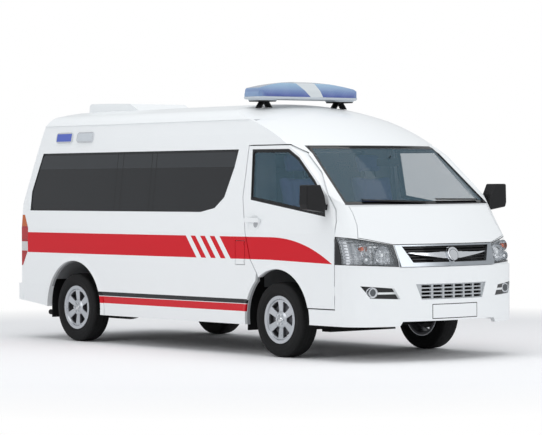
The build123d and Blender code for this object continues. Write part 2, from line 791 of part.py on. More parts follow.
# Rear axle, springs, shaft, exhaust, tank and spare wheel
with BuildPart() as rear_axle:
    with BuildSketch(Plane.YZ.offset(-track_rear / 2 + 32)):
        with Locations((rear_axle_y, tyre_radius)):
            Circle(38)
    extrude(amount=track_rear - 64)
    with BuildSketch(Plane.YZ.offset(-track_rear / 2 - 10)):
        with Locations((rear_axle_y, tyre_radius)):
            Circle(18)
    extrude(amount=track_rear + 20)
    with Locations((0, rear_axle_y, tyre_radius)):
        Sphere(125)
    with BuildSketch(Plane.XZ.offset(-rear_axle_y + 180)):
        with Locations((0, tyre_radius)):
            Circle(55)
    extrude(amount=-120)
spring_half_length, spring_width = 600, 60
with BuildPart() as leaf_spring:
    with BuildSketch(Plane.YZ.offset(rail_x - spring_width / 2)):
        with BuildLine():
            ThreePointArc(
                (rear_axle_y - spring_half_length, 412),
                (rear_axle_y, 392),
                (rear_axle_y + spring_half_length, 412),
            )
            Polyline(
                (rear_axle_y + spring_half_length, 412),
                (rear_axle_y + spring_half_length, 398),
                (rear_axle_y + 120, 366),
                (rear_axle_y - 120, 366),
                (rear_axle_y - spring_half_length, 398),
                (rear_axle_y - spring_half_length, 412),
            )
        make_face()
    extrude(amount=spring_width)
    for side in (-1, 1):
        with Locations((rail_x, rear_axle_y + side * spring_half_length, 408)):
            Box(spring_width, 44, 2 * (rail_low - seam - 408))
with BuildPart() as prop_shaft:
    start, end = Vector(0, -646.7, 500), Vector(0, rear_axle_y - 183.5, tyre_radius)
    with BuildSketch(Plane(origin=start, z_dir=end - start)):
        Circle(34)
    extrude(amount=(end - start).length)

with BuildPart() as exhaust:
    with BuildLine():
        FilletPolyline(
            (-250, -1000, 330), (-250, 1100, 330), (-560, 1240, 240), (-560, 2100, 240), (-560, 2640, 236),
            radius=60,
        )
    with BuildSketch(Plane(origin=(-250, -1000, 330), z_dir=(0, 1, 0))):
        Circle(26)
    sweep()
    with BuildSketch(Plane.XZ.offset(-200)):
        with Locations((-250, 330)):
            Ellipse(110, 62)
    extrude(amount=-520)
    for along in (300, 2330):
        x = -250 if along < 1000 else -560
        low_x, high_x = sorted((x, -rail_x))
        add(band(along - 8, along + 8, 300 if along < 1000 else 250, 420 - seam, low_x - 6, high_x + 6))
with BuildPart() as fuel_tank:
    with Locations((250, -250, rail_low - seam - 95)):
        Box(380, 760, 190)
    fillet(fuel_tank.edges(), 40)
with BuildPart() as spare_wheel:
    with BuildSketch(Plane.XZ):
        with BuildLine():
            Polyline(
                (0, 20), (120, 20), (168, 60), (202, 70), (240, 94), (316, 84), (327, 0), (316, -84),
                (240, -94), (202, -70), (168, -60), (140, 0), (0, 0),
                close=True,
            )
        make_face()
    revolve(axis=Axis.Z)

# Mud flaps
with BuildPart() as flap:
    add(band(-960 - seam - 6, -960 - seam, 215, 700, 700, 885))
    rear_flap_y = rear_axle_y + rear_arch_radius + 4
    add(band(rear_flap_y, rear_flap_y + 6, 215, load_floor_height - seam, 700, 885))

# Cab seats: base, cushion, back and head restraint
with BuildPart() as seat_base:
    with Locations((420, -1510, seat_step_height + floor_sheet + 35)):
        Box(440, 520, 70 - 2 * seam)
with BuildPart() as seat_cushion:
    with Locations((420, -1560, 951)):
        Box(480, 480, 110)
    fillet(seat_cushion.edges(), 30)
with BuildPart() as seat_back:
    with Locations(Location((420, -1185, 1290), (-14, 0, 0))):
        Box(470, 110, 600)
    fillet(seat_back.edges(), 34)
    add(band(-1308, -1255, 896, 1020, 260, 580))
with BuildPart() as head_rest:
    with Locations(Location((420, -1085, 1690), (-14, 0, 0))):
        Box(270, 90, 170)
    fillet(head_rest.edges(), 30)
    for across in (360, 480):
        add(band(-1110, -1098, 1570, 1640, across - 6, across + 6))

# Dashboard, steering wheel and the wall behind the seats
with BuildPart() as dashboard:
    with BuildSketch(Plane.YZ.offset(-860)):
        with BuildLine():
            Polyline(
                (-2290, 900), (-2290, 1240), (-2160, 1290), (-1960, 1220), (-1940, 1080), (-2060, 900),
                close=True,
            )
        make_face()
    extrude(amount=1720)
    add(body_volume(side_wall + 30, roof_wall, nose_wall + 8), mode=Mode.INTERSECT)
    add(band(-2290, -2150, footwell_height + floor_sheet + seam, 930, -120, 120))
with BuildPart() as steering_wheel:
    wheel_plane = Plane(origin=(-420, -1830, 1200), z_dir=(0, 0.62, 0.78))
    with BuildSketch(wheel_plane):
        Circle(190)
        Circle(162, mode=Mode.SUBTRACT)
        with PolarLocations(0, 3):
            with Locations((85, 0)):
                Rectangle(170, 30)
        Circle(60)
    extrude(amount=24)
    with BuildSketch(wheel_plane):
        Circle(26)
    extrude(amount=-190)
with BuildPart() as bulkhead:
    add(inner)
    add(band(bulkhead_front, bulkhead_rear, bulkhead_foot, 3000), mode=Mode.INTERSECT)
    add(body_volume(side_wall + 1, roof_wall + 1, nose_wall), mode=Mode.INTERSECT)
    add(band(-1100, -800, 1330, 1800, -520, 520), mode=Mode.SUBTRACT)

# Roof equipment: the light bar, its lens shaped from the front, the side and above
light_bar_y, light_bar_half = -650, 600
bar_low, lens_low, bar_high = roof_height + 30, roof_height + 52, roof_height + 196
bar_plan = [(-560, -778), (0, -800), (560, -778), (600, -720), (600, -560), (540, -515), (0, -500)]
bar_plan += [(-540, -515), (-600, -560), (-600, -720)]
lens_side = [(-792, lens_low + seam), (-760, lens_low + 60), (-690, bar_high - 18), (-620, bar_high)]
lens_side += [(-560, bar_high - 31), (-508, lens_low + seam)]
with BuildPart() as light_bar_base:
    with BuildSketch(Plane.XY.offset(bar_low)):
        with BuildLine():
            Polyline(*bar_plan, close=True)
        make_face()
        fillet(vertices(), 24)
    extrude(amount=lens_low - bar_low)
    chamfer(light_bar_base.faces().sort_by(Axis.Z)[0].edges(), 9)
    for side in (-1, 1):
        with BuildSketch(Plane.XY.offset(bar_low + 4)):
            with Locations((side * 455, light_bar_y)):
                RectangleRounded(230, 200, 40)
        extrude(amount=-26, taper=30)
with BuildPart() as light_bar_lenses:
    with BuildSketch(Plane.XZ.offset(830)):
        with BuildLine():
            low = lens_low + seam
            Line((light_bar_half, low), (-light_bar_half, low))
            Line((-light_bar_half, low), (-light_bar_half + 40, lens_low + 80))
            end_x, end_z = light_bar_half - 40, lens_low + 80
            ThreePointArc((-end_x, end_z), (0, bar_high), (end_x, end_z))
            Line((light_bar_half - 40, lens_low + 80), (light_bar_half, low))
        make_face()
        fillet(vertices().group_by(Axis.Y)[-1], 24)
    extrude(amount=-400)
    with BuildSketch(Plane.YZ.offset(-700)):
        with BuildLine():
            Polyline(*lens_side, close=True)
        make_face()
        fillet(vertices().group_by(Axis.Y)[1:], 18)
    extrude(amount=1400, mode=Mode.INTERSECT)
    with BuildSketch(Plane.XY.offset(bar_low)):
        with BuildLine():
            Polyline(*bar_plan, close=True)
        make_face()
        fillet(vertices(), 24)
        offset(amount=-4)
    extrude(amount=300, mode=Mode.INTERSECT)
with BuildPart() as light_bar_foot:
    with BuildSketch(Plane.XZ.offset(690)):
        for lean in (-1, 1):
            with BuildLine():
                Polyline(
                    (440 + lean * 10, bar_low - 14),
                    (440 + lean * 24, bar_low - 14),
                    (440 + lean * 72, bar_low - 80),
                    (440 + lean * 58, bar_low - 80),
                    close=True,
                )
            make_face()
    extrude(amount=-80)
    add(body_volume(-seam, -seam, 0), mode=Mode.SUBTRACT)


# Raised vent on the roof, with a sloping front
vent_top = roof_height + 66
with BuildPart() as roof_vent:
    with BuildSketch(Plane.YZ.offset(-330)):
        with BuildLine():
            Polyline(
                (1430, roof_height - 15),
                (1570, vent_top - 14),
                (1930, vent_top - 3),
                (2230, vent_top),
                (2262, vent_top - 16),
                (2270, roof_height - 40),
                close=True,
            )
        make_face()
    extrude(amount=660)
    fillet(roof_vent.edges().group_by(Axis.Z)[-1], 10)

# Warning and flood lamps high on the sides
with BuildPart() as side_lamp:
    with BuildSketch(Plane.YZ.offset(-900)):
        for middle_y in (1605, 1955):
            with Locations((middle_y, 1964)):
                RectangleRounded(272, 98, 30)
    extrude(amount=100)
    add(body_volume(-14, 0, 0), mode=Mode.INTERSECT)
    add(body_volume(-seam, 0, 0), mode=Mode.SUBTRACT)

# Door mirrors and handles
mirror_points = [(-1160, 1496), (-1164, 1330), (-1150, 1290), (-975, 1264), (-945, 1296), (-962, 1400)]
mirror_points += [(-1010, 1496)]
with BuildPart() as door_mirror:
    add(front_slab(mirror_points, -2128, -2022, 16))
    fillet(door_mirror.edges().group_by(Axis.Y)[0], 14)
    fillet(door_mirror.edges().group_by(Axis.Y)[-1], 8)
    add(band(-2100, -2050, 1282, 1330, -985, -860))
    add(body_volume(-seam, 0, 0), mode=Mode.SUBTRACT)
handle_rear_y, handle_front_y, handle_low_z, handle_high_z = -1015, -1215, 1170, 1206
with BuildPart() as door_handle:
    add(band(handle_front_y, handle_rear_y, handle_low_z, handle_high_z, -964, -950))
    fillet(door_handle.edges().filter_by(Axis.Y), 5)
    for along in (handle_front_y + 8, handle_rear_y - 28):
        add(band(along, along + 20, handle_low_z + 4, handle_high_z - 4, -956, -915))
with BuildPart() as handle_cup:
    with Locations((-1048, -1115, 1168)):
        Sphere(140)

# Fuel lid on its hinge pin, and the filler behind it
with BuildPart() as fuel_lid:
    add(band(fuel_pin_y, -860, 798, 1003, -940, -935))
    for low_z in fuel_lug_heights:
        add(band(-1000, fuel_pin_y + 9, low_z - 4, low_z + 19), mode=Mode.SUBTRACT)
    with BuildSketch(Plane.XY.offset(808)):
        with Locations((-937.5, fuel_pin_y)):
            Circle(fuel_pin_radius)
    extrude(amount=188)

# Hinge pins of the front doors and the tailgate, in the gap at the hinge
door_pin_x, door_pin_y = -938.5, door_front_y
tailgate_pin_y, tailgate_pin_z = 2352, 2059
with BuildPart() as door_pins:
    for low_z in (560, 1040):
        with BuildSketch(Plane.XY.offset(low_z)):
            with Locations((door_pin_x, door_pin_y)):
                Circle(door_gap / 2 - 0.3)
        extrude(amount=80)
        add(band(door_pin_y, door_pin_y + 8, low_z, low_z + 80, door_pin_x - 3, door_pin_x + 3))
with BuildPart() as door_right:
    add(door_shell_right.part)
    add(handle_cup.part, mode=Mode.SUBTRACT)
    add(door_pins.part)
    add(door_handle.part)
with BuildPart() as tailgate_body:
    add(tailgate_shell.part)
    for middle in (-250, 250):
        with BuildSketch(Plane.YZ.offset(middle - 30)):
            with Locations((tailgate_pin_y, tailgate_pin_z)):
                Circle(lid_gap / 2 - 0.3)
        extrude(amount=60)
        add(band(tailgate_pin_y - 2, tailgate_pin_y + 1, 2050, tailgate_pin_z, middle - 30, middle + 30))

bonnet_pin_y, bonnet_pin_z, bonnet_pin_x = -2249, 1309, 782
with BuildPart() as bonnet_body:
    add(bonnet.part)
    for side in (-1, 1):
        with BuildSketch(Plane.YZ.offset(side * bonnet_pin_x - 5)):
            with Locations((bonnet_pin_y, bonnet_pin_z)):
                Circle(3)
        extrude(amount=10)
        tongue = [(-2259, 1292), (-2259, 1302), (-2251, 1311), (-2247, 1309), (-2249, 1300)]
        add(side_slab(tongue, side * bonnet_pin_x - 4, side * bonnet_pin_x + 4))

# Wipers at the foot of the windscreen
with BuildPart() as wipers:
    for pivot, pivot_z, tip, tip_z in ((-40, 1338, -650, 1360), (690, 1355, 120, 1362)):
        blade = [(pivot, pivot_z), (pivot, pivot_z + 14), (tip, tip_z + 12), (tip, tip_z)]
        add(front_slab(blade, -2800, -1800))
    add(end_skin(windscreen_row, -14, 19 - seam, 1), mode=Mode.INTERSECT)

with BuildPart() as dash_and_wheel:
    add(dashboard.part)
    add(steering_wheel.part)
with BuildPart() as light_bar_carrier:
    add(light_bar_base.part)
    add(light_bar_foot.part)
    add(mirrored(light_bar_foot.part))
with BuildPart() as roof_and_vent:
    add(roof_shell.part)
    add(roof_vent.part)

pieces = {
    "roof_shell": roof_and_vent.part,
    "side_panel_right": side_panel_right.part,
    "side_panel_left": side_panel_left.part,
    "cab_frame": cab_frame.part,
    "door_shell_right": door_right.part,
    "door_shell_left": mirrored(door_right.part),
    "door_glass_right": door_glass_right,
    "door_glass_left": door_glass_left,
    "side_glass": Compound([side_glass_right, side_glass_left, sliding_glass]),
    "sliding_door": sliding_door.part,
    "windscreen": windscreen.part,
    "bonnet": bonnet_body.part,
    "tailgate_shell": tailgate_body.part,
    "tailgate_glass": tailgate_glass.part,
    "tail_lamps": tail_lamps_pair,
    "headlamps": Compound([headlamp_left.part, headlamp_right]),
    "grille_surround": grille_surround.part,
    "grille_insert": grille_middle.part,
    "front_bumper": front_bumper.part,
    "lower_grille": lower_grille.part,
    "fog_lamps": fog_lamps,
    "rear_bumper": rear_bumper.part,
    "floor_pan": floor_pan.part,
    "wheelhouses": both_sides(rear_wheelhouse.part),
    "chassis_rails": chassis_rails.part,
    "engine_block": engine_block.part,
    "front_suspension": front_suspension.part,
    "knuckle_left": knuckle.part,
    "knuckle_right": mirrored(knuckle.part),
    "rear_axle": rear_axle.part,
    "leaf_springs": both_sides(leaf_spring.part),
    "prop_shaft": prop_shaft.part,
    "exhaust": exhaust.part,
    "fuel_tank": fuel_tank.part,
    "spare_wheel": Pos(0, 2165, 300) * spare_wheel.part,
    "mud_flaps": both_sides(flap.part),
    "seat_bases": both_sides(seat_base.part),
    "seat_cushions": both_sides(seat_cushion.part),
    "seat_backs": both_sides(Part(children=[seat_back.part, head_rest.part])),
    "dashboard": dash_and_wheel.part,
    "bulkhead": bulkhead.part,
    "light_bar_base": light_bar_carrier.part,
    "light_bar_lenses": light_bar_lenses.part,
    "side_lamps": both_sides(side_lamp.part),
    "door_mirror_right": door_mirror.part,
    "door_mirror_left": mirrored(door_mirror.part),
    "fuel_lid": fuel_lid.part,
    "wipers": wipers.part,
}
for end, axle_y, track in wheel_names:
    for side_name, side in (("left", 1), ("right", -1)):
        pieces["tyre_" + end + "_" + side_name] = wheel_at(tyre_ring.part, side, axle_y, track)
        pieces["rim_" + end + "_" + side_name] = wheel_at(rim_disc.part, side, axle_y, track)
for name, piece in pieces.items():
    write(piece, name)
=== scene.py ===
# %% [markdown]
# # A high-roof van ambulance, finished in Blender
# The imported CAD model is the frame: every panel, lamp, seat and wheel already stands
# at its real place, in metres, with the front towards -Y and the ground at Z = 0.
# This notebook gives the pieces their materials, and adds what CAD left plain.

# %%
import json
import math

import bmesh
import bpy
from mathutils import Matrix, Quaternion, Vector


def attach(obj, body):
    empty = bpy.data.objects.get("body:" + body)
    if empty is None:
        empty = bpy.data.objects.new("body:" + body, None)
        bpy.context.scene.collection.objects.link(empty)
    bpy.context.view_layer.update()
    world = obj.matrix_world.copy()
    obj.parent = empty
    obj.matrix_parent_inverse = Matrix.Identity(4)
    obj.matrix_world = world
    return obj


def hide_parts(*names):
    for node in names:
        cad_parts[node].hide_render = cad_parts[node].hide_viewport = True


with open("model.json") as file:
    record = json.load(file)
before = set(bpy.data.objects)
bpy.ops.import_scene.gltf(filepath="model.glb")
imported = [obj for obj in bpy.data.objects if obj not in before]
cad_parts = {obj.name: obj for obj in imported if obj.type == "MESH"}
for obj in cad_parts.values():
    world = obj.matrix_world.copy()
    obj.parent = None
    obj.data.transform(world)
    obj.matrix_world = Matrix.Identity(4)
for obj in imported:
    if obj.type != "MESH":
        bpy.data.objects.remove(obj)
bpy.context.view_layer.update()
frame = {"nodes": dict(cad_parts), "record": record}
nodes = frame["nodes"]
print("nodes in the frame:", len(nodes))

# %% [markdown]
# The camera comes first. A long lens stands ahead and to the right of the van, a
# little above the bonnet. Its place could be found by eye, but comes from a fit to
# the wheels, so straight edges of the model fall where they fall in the photograph.

# %%
camera_place = Vector((-14.695, -18.484, 1.512))
camera_target = Vector((0.127, -0.038, 1.191))
camera_roll = math.radians(-0.309)
focal_length, film_width = 167.9, 36
camera_data = bpy.data.cameras.new("camera")
camera_data.lens = focal_length
camera_data.sensor_width = film_width
camera_data.dof.use_dof = False
camera = bpy.data.objects.new("camera", camera_data)
bpy.context.scene.collection.objects.link(camera)
aim = (camera_target - camera_place).to_track_quat("-Z", "Y")
camera.rotation_mode = "QUATERNION"
camera.rotation_quaternion = aim @ Quaternion((0, 0, 1), camera_roll)
camera.location = camera_place
bpy.context.scene.camera = camera
bpy.context.scene.view_settings.view_transform = "Standard"
print("camera distance:", round((camera_target - camera_place).length, 2))

# %% [markdown]
# Shader sums read best as plain arithmetic. Node by node they would fill pages, so a
# Val wraps one socket of a material's node tree. Its operators add math nodes, and
# `node` adds any other kind.


# %%
class Val:
    """One socket of a node tree that can be added, scaled and compared."""

    def __init__(self, tree, socket):
        self.tree = tree
        self.socket = socket

    def node(self, kind, inputs, out=0, **settings):
        made = self.tree.nodes.new(kind)
        for name, value in settings.items():
            setattr(made, name, value)
        for name, value in inputs.items():
            put(self.tree, made.inputs[name], value)
        return Val(self.tree, made.outputs[out])

    def math(self, operation, *others):
        values = dict(enumerate((self, *others)))
        return self.node("ShaderNodeMath", values, operation=operation)

    def __add__(self, other):
        return self.math("ADD", other)

    def __sub__(self, other):
        return self.math("SUBTRACT", other)

    def __mul__(self, other):
        return self.math("MULTIPLY", other)

    def __truediv__(self, other):
        return self.math("DIVIDE", other)

    def __rsub__(self, other):
        return (self * -1) + other

    def __gt__(self, other):
        return self.math("GREATER_THAN", other)

    def __lt__(self, other):
        return self.math("LESS_THAN", other)

    __radd__ = __add__
    __rmul__ = __mul__


def put(tree, socket, value):
    """Set a socket to a number or colour, or link it to a Val."""
    if isinstance(value, Val):
        tree.links.new(value.socket, socket)
    elif isinstance(value, tuple) and len(value) == 3 and socket.type == "RGBA":
        socket.default_value = (*value, 1)
    else:
        socket.default_value = value


def between(low, value, high):
    """1 where value lies between two limits, else 0."""
    return (value > low) * (value < high)


def either(first, *others):
    """1 where any of the masks is 1, else 0."""
    for other in others:
        first = first.math("MAXIMUM", other)
    return first


def above_zero(value):
    return value.math("MAXIMUM", 0.0)


def capped(value):
    """The value, kept from 0 to 1."""
    return above_zero(value).math("MINIMUM", 1.0)


def ridges(value, per_metre):
    """Straight-sided ridges: 0 in the middle of each and 0.5 at its edges."""
    return ((value * per_metre).math("FRACT") - 0.5).math("ABSOLUTE")


def radius_from(first, second):
    return (first * first + second * second).math("SQRT")


def mix(share, first, second):
    """The first colour where share is 0, the second where it is 1."""
    return share.node("ShaderNodeMix", {0: share, 6: first, 7: second}, 2, data_type="RGBA")


class Finish:
    """A new material: its principled shader, and the object's own coordinates."""

    def __init__(self, name, **settings):
        self.material = bpy.data.materials.new(name)
        self.material.use_nodes = True
        self.tree = self.material.node_tree
        self.shader = self.tree.nodes["Principled BSDF"]
        place = self.tree.nodes.new("ShaderNodeTexCoord").outputs["Object"]
        self.place = Val(self.tree, place)
        split = self.tree.nodes.new("ShaderNodeSeparateXYZ")
        self.tree.links.new(place, split.inputs[0])
        self.x, self.y, self.z = [Val(self.tree, out) for out in split.outputs]
        self.out_x = self.x.math("ABSOLUTE")
        self.set(specular_ior_level=0.22)
        self.set(**settings)

    def set(self, **settings):
        for name, value in settings.items():
            socket = name.replace("_", " ").title().replace("Ior", "IOR")
            put(self.tree, self.shader.inputs[socket], value)

    def noise(self, scale, detail=3.0):
        """Noise of about 0.5, in the object's metres."""
        inputs = {"Vector": self.place, "Scale": scale, "Detail": detail}
        return self.place.node("ShaderNodeTexNoise", inputs)

    def bump(self, height, distance, strength=1.0):
        """Put fine relief on the surface, its height in metres at 1."""
        inputs = {"Height": height, "Distance": distance, "Strength": strength}
        self.set(normal=height.node("ShaderNodeBump", inputs))


def far_out(across, height, corners):
    """How far a place lies outside a convex outline, in metres, and negative within it."""
    pairs = list(zip(corners, corners[1:] + corners[:1]))
    turn = 1 if sum(a[0] * b[1] - b[0] * a[1] for a, b in pairs) > 0 else -1
    edges = []
    for (start_across, start_height), (end_across, end_height) in pairs:
        run = math.hypot(end_across - start_across, end_height - start_height)
        out_across = turn * (end_height - start_height) / run
        out_height = -turn * (end_across - start_across) / run
        start = start_across * out_across + start_height * out_height
        edges.append(across * out_across + height * out_height - start)
    return either(*edges)


def paint_all(names, finish):
    """Give CAD nodes one finish."""
    for name in names:
        mesh = nodes[name].data
        mesh.materials.clear()
        mesh.materials.append(finish.material)


print("shader tools ready")

# %% [markdown]
# Places that several finishes need, in metres: the axles, the lean of the sides, and
# outlines of windows, number plate and headlamp. Each outline is convex, so the
# distances to its edges are enough to tell inside from outside, without a drawing.

# %%
front_axle_y, wheelbase, axle_z = -1.44, 3.11, 0.327
half_track, middle_y = 0.826, 0.1
ends = ["front_left", "front_right", "rear_left", "rear_right"]
half_width = 0.940
lean_rows = [(1.079, 0.102), (1.265, 0.017), (1.802, 0.05)]
waist_z = 1.2
door_window = [(-1.056, 1.378), (-1.023, 1.799), (-1.512, 1.796), (-1.660, 1.722)]
door_window += [(-1.896, 1.526), (-2.040, 1.370), (-2.065, 1.240)]
side_window = [(-0.805, 1.808), (-0.765, 1.655), (-0.655, 1.392), (-0.530, 1.298)]
side_window += [(-0.330, 1.262), (2.440, 1.262), (2.440, 1.440), (2.300, 1.808)]
windscreen_outline = [(-0.812, 1.334), (0.812, 1.334), (0.722, 1.828), (-0.722, 1.828)]
tail_window = [(-0.690, 1.290), (0.690, 1.290), (0.640, 1.800), (-0.640, 1.800)]
plate_outline = [(-0.241, 0.359), (0.276, 0.359), (0.276, 0.480), (-0.241, 0.480)]
lamp_outline = [(0.545, 0.802), (0.945, 0.820), (0.945, 1.058), (0.568, 0.985)]


def outer_skin(finish, depth=0.014):
    """1 on the outside of the vehicle's sides, 0 on their inner faces."""
    half = half_width
    for start, slope in lean_rows:
        half = half - above_zero(finish.z - start) * slope
    return finish.out_x > (half - depth)


def from_axle(finish):
    """How far a place lies behind and above the axle of its own wheel."""
    return finish.y - front_axle_y - (finish.y > middle_y) * wheelbase, finish.z - axle_z


print("outlines: 6")

# %% [markdown]
# The body paint is gloss white. Its stripes are foils on the real van. Here they are
# worked out from places on the body, so no image is needed: a red band with a swept
# tip and slanted bars, a black line and a red line between the wheels. Outlines of
# the windows give their rubber seals. Faint noise in the colour and a shallow bump
# keep the paint from looking like plastic.

# %%
white, dull_white = (0.86, 0.88, 0.89), (0.78, 0.81, 0.83)
red = (0.62, 0.0, 0.010)
black = (0.012, 0.012, 0.014)
lining = (0.42, 0.43, 0.45)
seal_width, side_seal_width, frame_width = 0.013, 0.006, 0.010
band_top, band_low, band_end = 1.043, 0.846, 2.47
tip_start, tip_length, tip_drop, tip_curve, tip_rise = -1.34, 0.844, 0.218, 2.2, 0.021
slant_run, bars_start, bars_length, bar_pitch = 0.81, -0.79, 0.50, 0.1429
line_front, line_rear = -1.03, 1.25
red_line_low, red_line_top = 0.385, 0.450
black_line_low, black_line_top = 0.455, 0.493


def stripes(finish):
    """Masks of the red and black areas on the vehicle's sides."""
    y, z = finish.y, finish.z
    side = outer_skin(finish)
    sweep = above_zero((tip_start - y) * (1 / tip_length))
    top = band_top - tip_drop * sweep.math("POWER", tip_curve)
    bottom = band_low - tip_rise * sweep
    in_band = (z > bottom) * (z < top)
    from_bars = y - slant_run * (z - band_low) - bars_start
    front = from_bars < 0.0
    rear = (from_bars > bars_length) * (y < band_end)
    bars = between(0.0, from_bars, bars_length) * ((from_bars * (1 / bar_pitch)).math("FRACT") > 0.5)
    band = in_band * either(front, rear, bars)
    between_wheels = between(line_front, y, line_rear)
    low_red = between(red_line_low, z, red_line_top) * between_wheels
    low_black = between(black_line_low, z, black_line_top) * between_wheels
    return either(band, low_red) * side, low_black * side


def gloss(name):
    """The body's gloss paint, before its masks."""
    paint = Finish(name, roughness=0.28, coat_weight=0.22, coat_roughness=0.05)
    paint.bump(paint.noise(2.0, 1.0), 0.0010, 0.2)
    return paint, mix(paint.noise(1.3) * 0.16, white, dull_white)


rail_front, rail_rear, rail_low, rail_top, rail_x = 0.45, 2.42, 1.052, 1.074, 0.9
tail_rear, tail_bow, tail_lean, tail_lean_start = 2.618, 14, 0.344, 1.23
door_front, door_rear, door_card_top, card_depth = -2.10, -0.98, 1.22, 0.02
side_paint, side_colour = gloss("side_paint")
red_mask, black_mask = stripes(side_paint)
side_seal = far_out(side_paint.y, side_paint.z, side_window) < side_seal_width
door_seal = far_out(side_paint.y, side_paint.z, door_window) < seal_width
seals = either(side_seal, door_seal) * (side_paint.z > waist_z)
rail = between(rail_front, side_paint.y, rail_rear) * between(rail_low, side_paint.z, rail_top)
rail = rail * (side_paint.x > rail_x)
tail_face = tail_rear - side_paint.x * side_paint.x / tail_bow
tail_face = tail_face - above_zero(side_paint.z - tail_lean_start) * tail_lean
behind_doors = (side_paint.y > door_rear) * (side_paint.y < tail_face)
door_card = (side_paint.z < door_card_top) * between(door_front, side_paint.y, door_rear)
within = (1.0 - outer_skin(side_paint, card_depth)) * either(behind_doors, door_card)
side_colour = mix(red_mask, side_colour, red)
side_colour = mix(either(black_mask, seals, rail), side_colour, black)
side_paint.set(base_color=mix(within, side_colour, lining))
paint_all(["side_panel_right", "side_panel_left", "sliding_door", "fuel_lid"], side_paint)
paint_all(["door_shell_right", "door_shell_left"], side_paint)

windscreen_rear, plate_rear = -1.30, -2.6
plate_line_in, plate_line_out = -0.004, 0.003
nose_paint, nose_colour = gloss("nose_paint")
frame_edge = far_out(nose_paint.x, nose_paint.z, windscreen_outline) < frame_width
plate_far = far_out(nose_paint.x, nose_paint.z, plate_outline)
plate_edge = between(plate_line_in, plate_far, plate_line_out) * (nose_paint.y < plate_rear)
nose_seal = far_out(nose_paint.y, nose_paint.z, door_window) < seal_width
nose_seal = nose_seal * (nose_paint.z > waist_z) * outer_skin(nose_paint)
rubber_line = either(frame_edge * (nose_paint.y < windscreen_rear), plate_edge, nose_seal)
nose_red, _ = stripes(nose_paint)
nose_paint.set(base_color=mix(rubber_line, mix(nose_red, nose_colour, red), black))
paint_all(["roof_shell", "cab_frame", "bonnet", "front_bumper"], nose_paint)

tail_paint, tail_colour = gloss("tail_paint")
tail_seal = far_out(tail_paint.x, tail_paint.z, tail_window) < seal_width
tail_paint.set(base_color=mix(tail_seal, tail_colour, black))
paint_all(["tailgate_shell", "rear_bumper"], tail_paint)
print("body paints: 3")

# %% [markdown]
# Glass: the load space has nearly black privacy glass in three panes, with a lighter
# band near the top that is a painted reflection of the sky. The cab's glass is clear
# with a blue-green tint, so the seats and dashboard show, and its edge has a black print.
# Both are one shader each, because the real prints are baked onto the glass.

# %%
sky_low, sky_top = 1.66, 1.79
pane_joints, joint_width = (0.41, 0.482, 0.94, 1.032), 0.008
print_width = 0.018
dark_glass = Finish("dark_glass", roughness=0.06, coat_weight=0.35, coat_roughness=0.02)
# painted reflection: a band near the top of the dark glass is made lighter, standing in for the sky
# reflected in it
sky = between(sky_low, dark_glass.z, sky_top) * 0.5
pane_joint = either(*[between(joint, dark_glass.y, joint + joint_width) for joint in pane_joints])
smoke_and_sky_reflection = mix(sky + dark_glass.noise(3.0) * 0.1, (0.012, 0.013, 0.015), (0.045, 0.05, 0.056))
dark_glass.set(base_color=mix(pane_joint * (dark_glass.x < 0), smoke_and_sky_reflection, (0.0, 0.0, 0.0)))
paint_all(["side_glass", "tailgate_glass"], dark_glass)


def tinted(name, outline, across):
    """Clear cab glass whose printed edge follows its outline."""
    glass = Finish(name, roughness=0.02, coat_weight=0.35, coat_roughness=0.01)
    edge = far_out(getattr(glass, across), glass.z, outline) > -print_width
    glass.set(base_color=mix(edge, (0.11, 0.20, 0.26), (0.008, 0.008, 0.009)))
    glass.set(alpha=edge * 0.70 + 0.25)
    return glass


paint_all(["windscreen"], tinted("windscreen_glass", windscreen_outline, "x"))
paint_all(["door_glass_right", "door_glass_left"], tinted("door_glass", door_window, "y"))
print("glass: dark and clear")

# %% [markdown]
# Plain materials for the other parts: each varies a little in colour and roughness,
# with grain or relief at the scale of the real thing. One colour each would be less
# work, but looks like a toy. The rims' barrels are darkened as painted shade, and their
# brake drums are near black, partly dark iron and partly painted shade.


# %%
def worked(name, colour, other, roughness, metallic, scale, relief):
    """A finish whose colour and roughness wander a little, with fine relief."""
    finish = Finish(name, metallic=metallic)
    cloud = finish.noise(scale)
    finish.set(base_color=mix(cloud, colour, other))
    finish.set(roughness=cloud * 0.16 + (roughness - 0.08))
    finish.bump(finish.noise(scale * 12), relief, 0.4)
    return finish


rubber_dark, rubber_pale = (0.006, 0.006, 0.0065), (0.012, 0.012, 0.0125)
rim_dark, rim_pale = (0.50, 0.52, 0.55), (0.58, 0.60, 0.63)
rubber = worked("soft_rubber", rubber_dark, rubber_pale, 0.72, 0, 30, 0.0006)
alloy = worked("alloy", (0.55, 0.57, 0.60), (0.63, 0.65, 0.68), 0.32, 0.8, 12, 0.0001)
chrome = worked("bright_trim", (0.60, 0.62, 0.64), (0.70, 0.71, 0.73), 0.14, 1.0, 8, 0.00005)
plastic = worked("black_plastic", (0.008, 0.008, 0.009), (0.014, 0.014, 0.015), 0.48, 0, 40, 0.0003)
silver = worked("silver_plastic", (0.42, 0.44, 0.46), (0.50, 0.52, 0.54), 0.35, 0.3, 20, 0.0001)
under = worked("chassis_paint", (0.010, 0.010, 0.010), (0.020, 0.019, 0.018), 0.62, 0.2, 14, 0.0006)
floor_paint = worked("floor_paint", (0.16, 0.165, 0.175), (0.20, 0.205, 0.21), 0.6, 0, 16, 0.0008)
seat_cloth = worked("seat_fabric", (0.07, 0.075, 0.22), (0.12, 0.125, 0.32), 0.85, 0, 60, 0.0008)
plate_white = worked("plate_white", (0.78, 0.79, 0.80), (0.84, 0.84, 0.85), 0.35, 0, 30, 0.0001)
finishes = {
    "alloy": alloy, "bright_trim": chrome, "black_plastic": plastic,
    "silver_plastic": silver, "chassis_steel": under, "floor_paint": floor_paint,
    "seat_fabric": seat_cloth, "soft_rubber": rubber,
}
for part in frame["record"]["subparts"]:
    if part["material_slot"] in finishes:
        paint_all([part["node"]], finishes[part["material_slot"]])

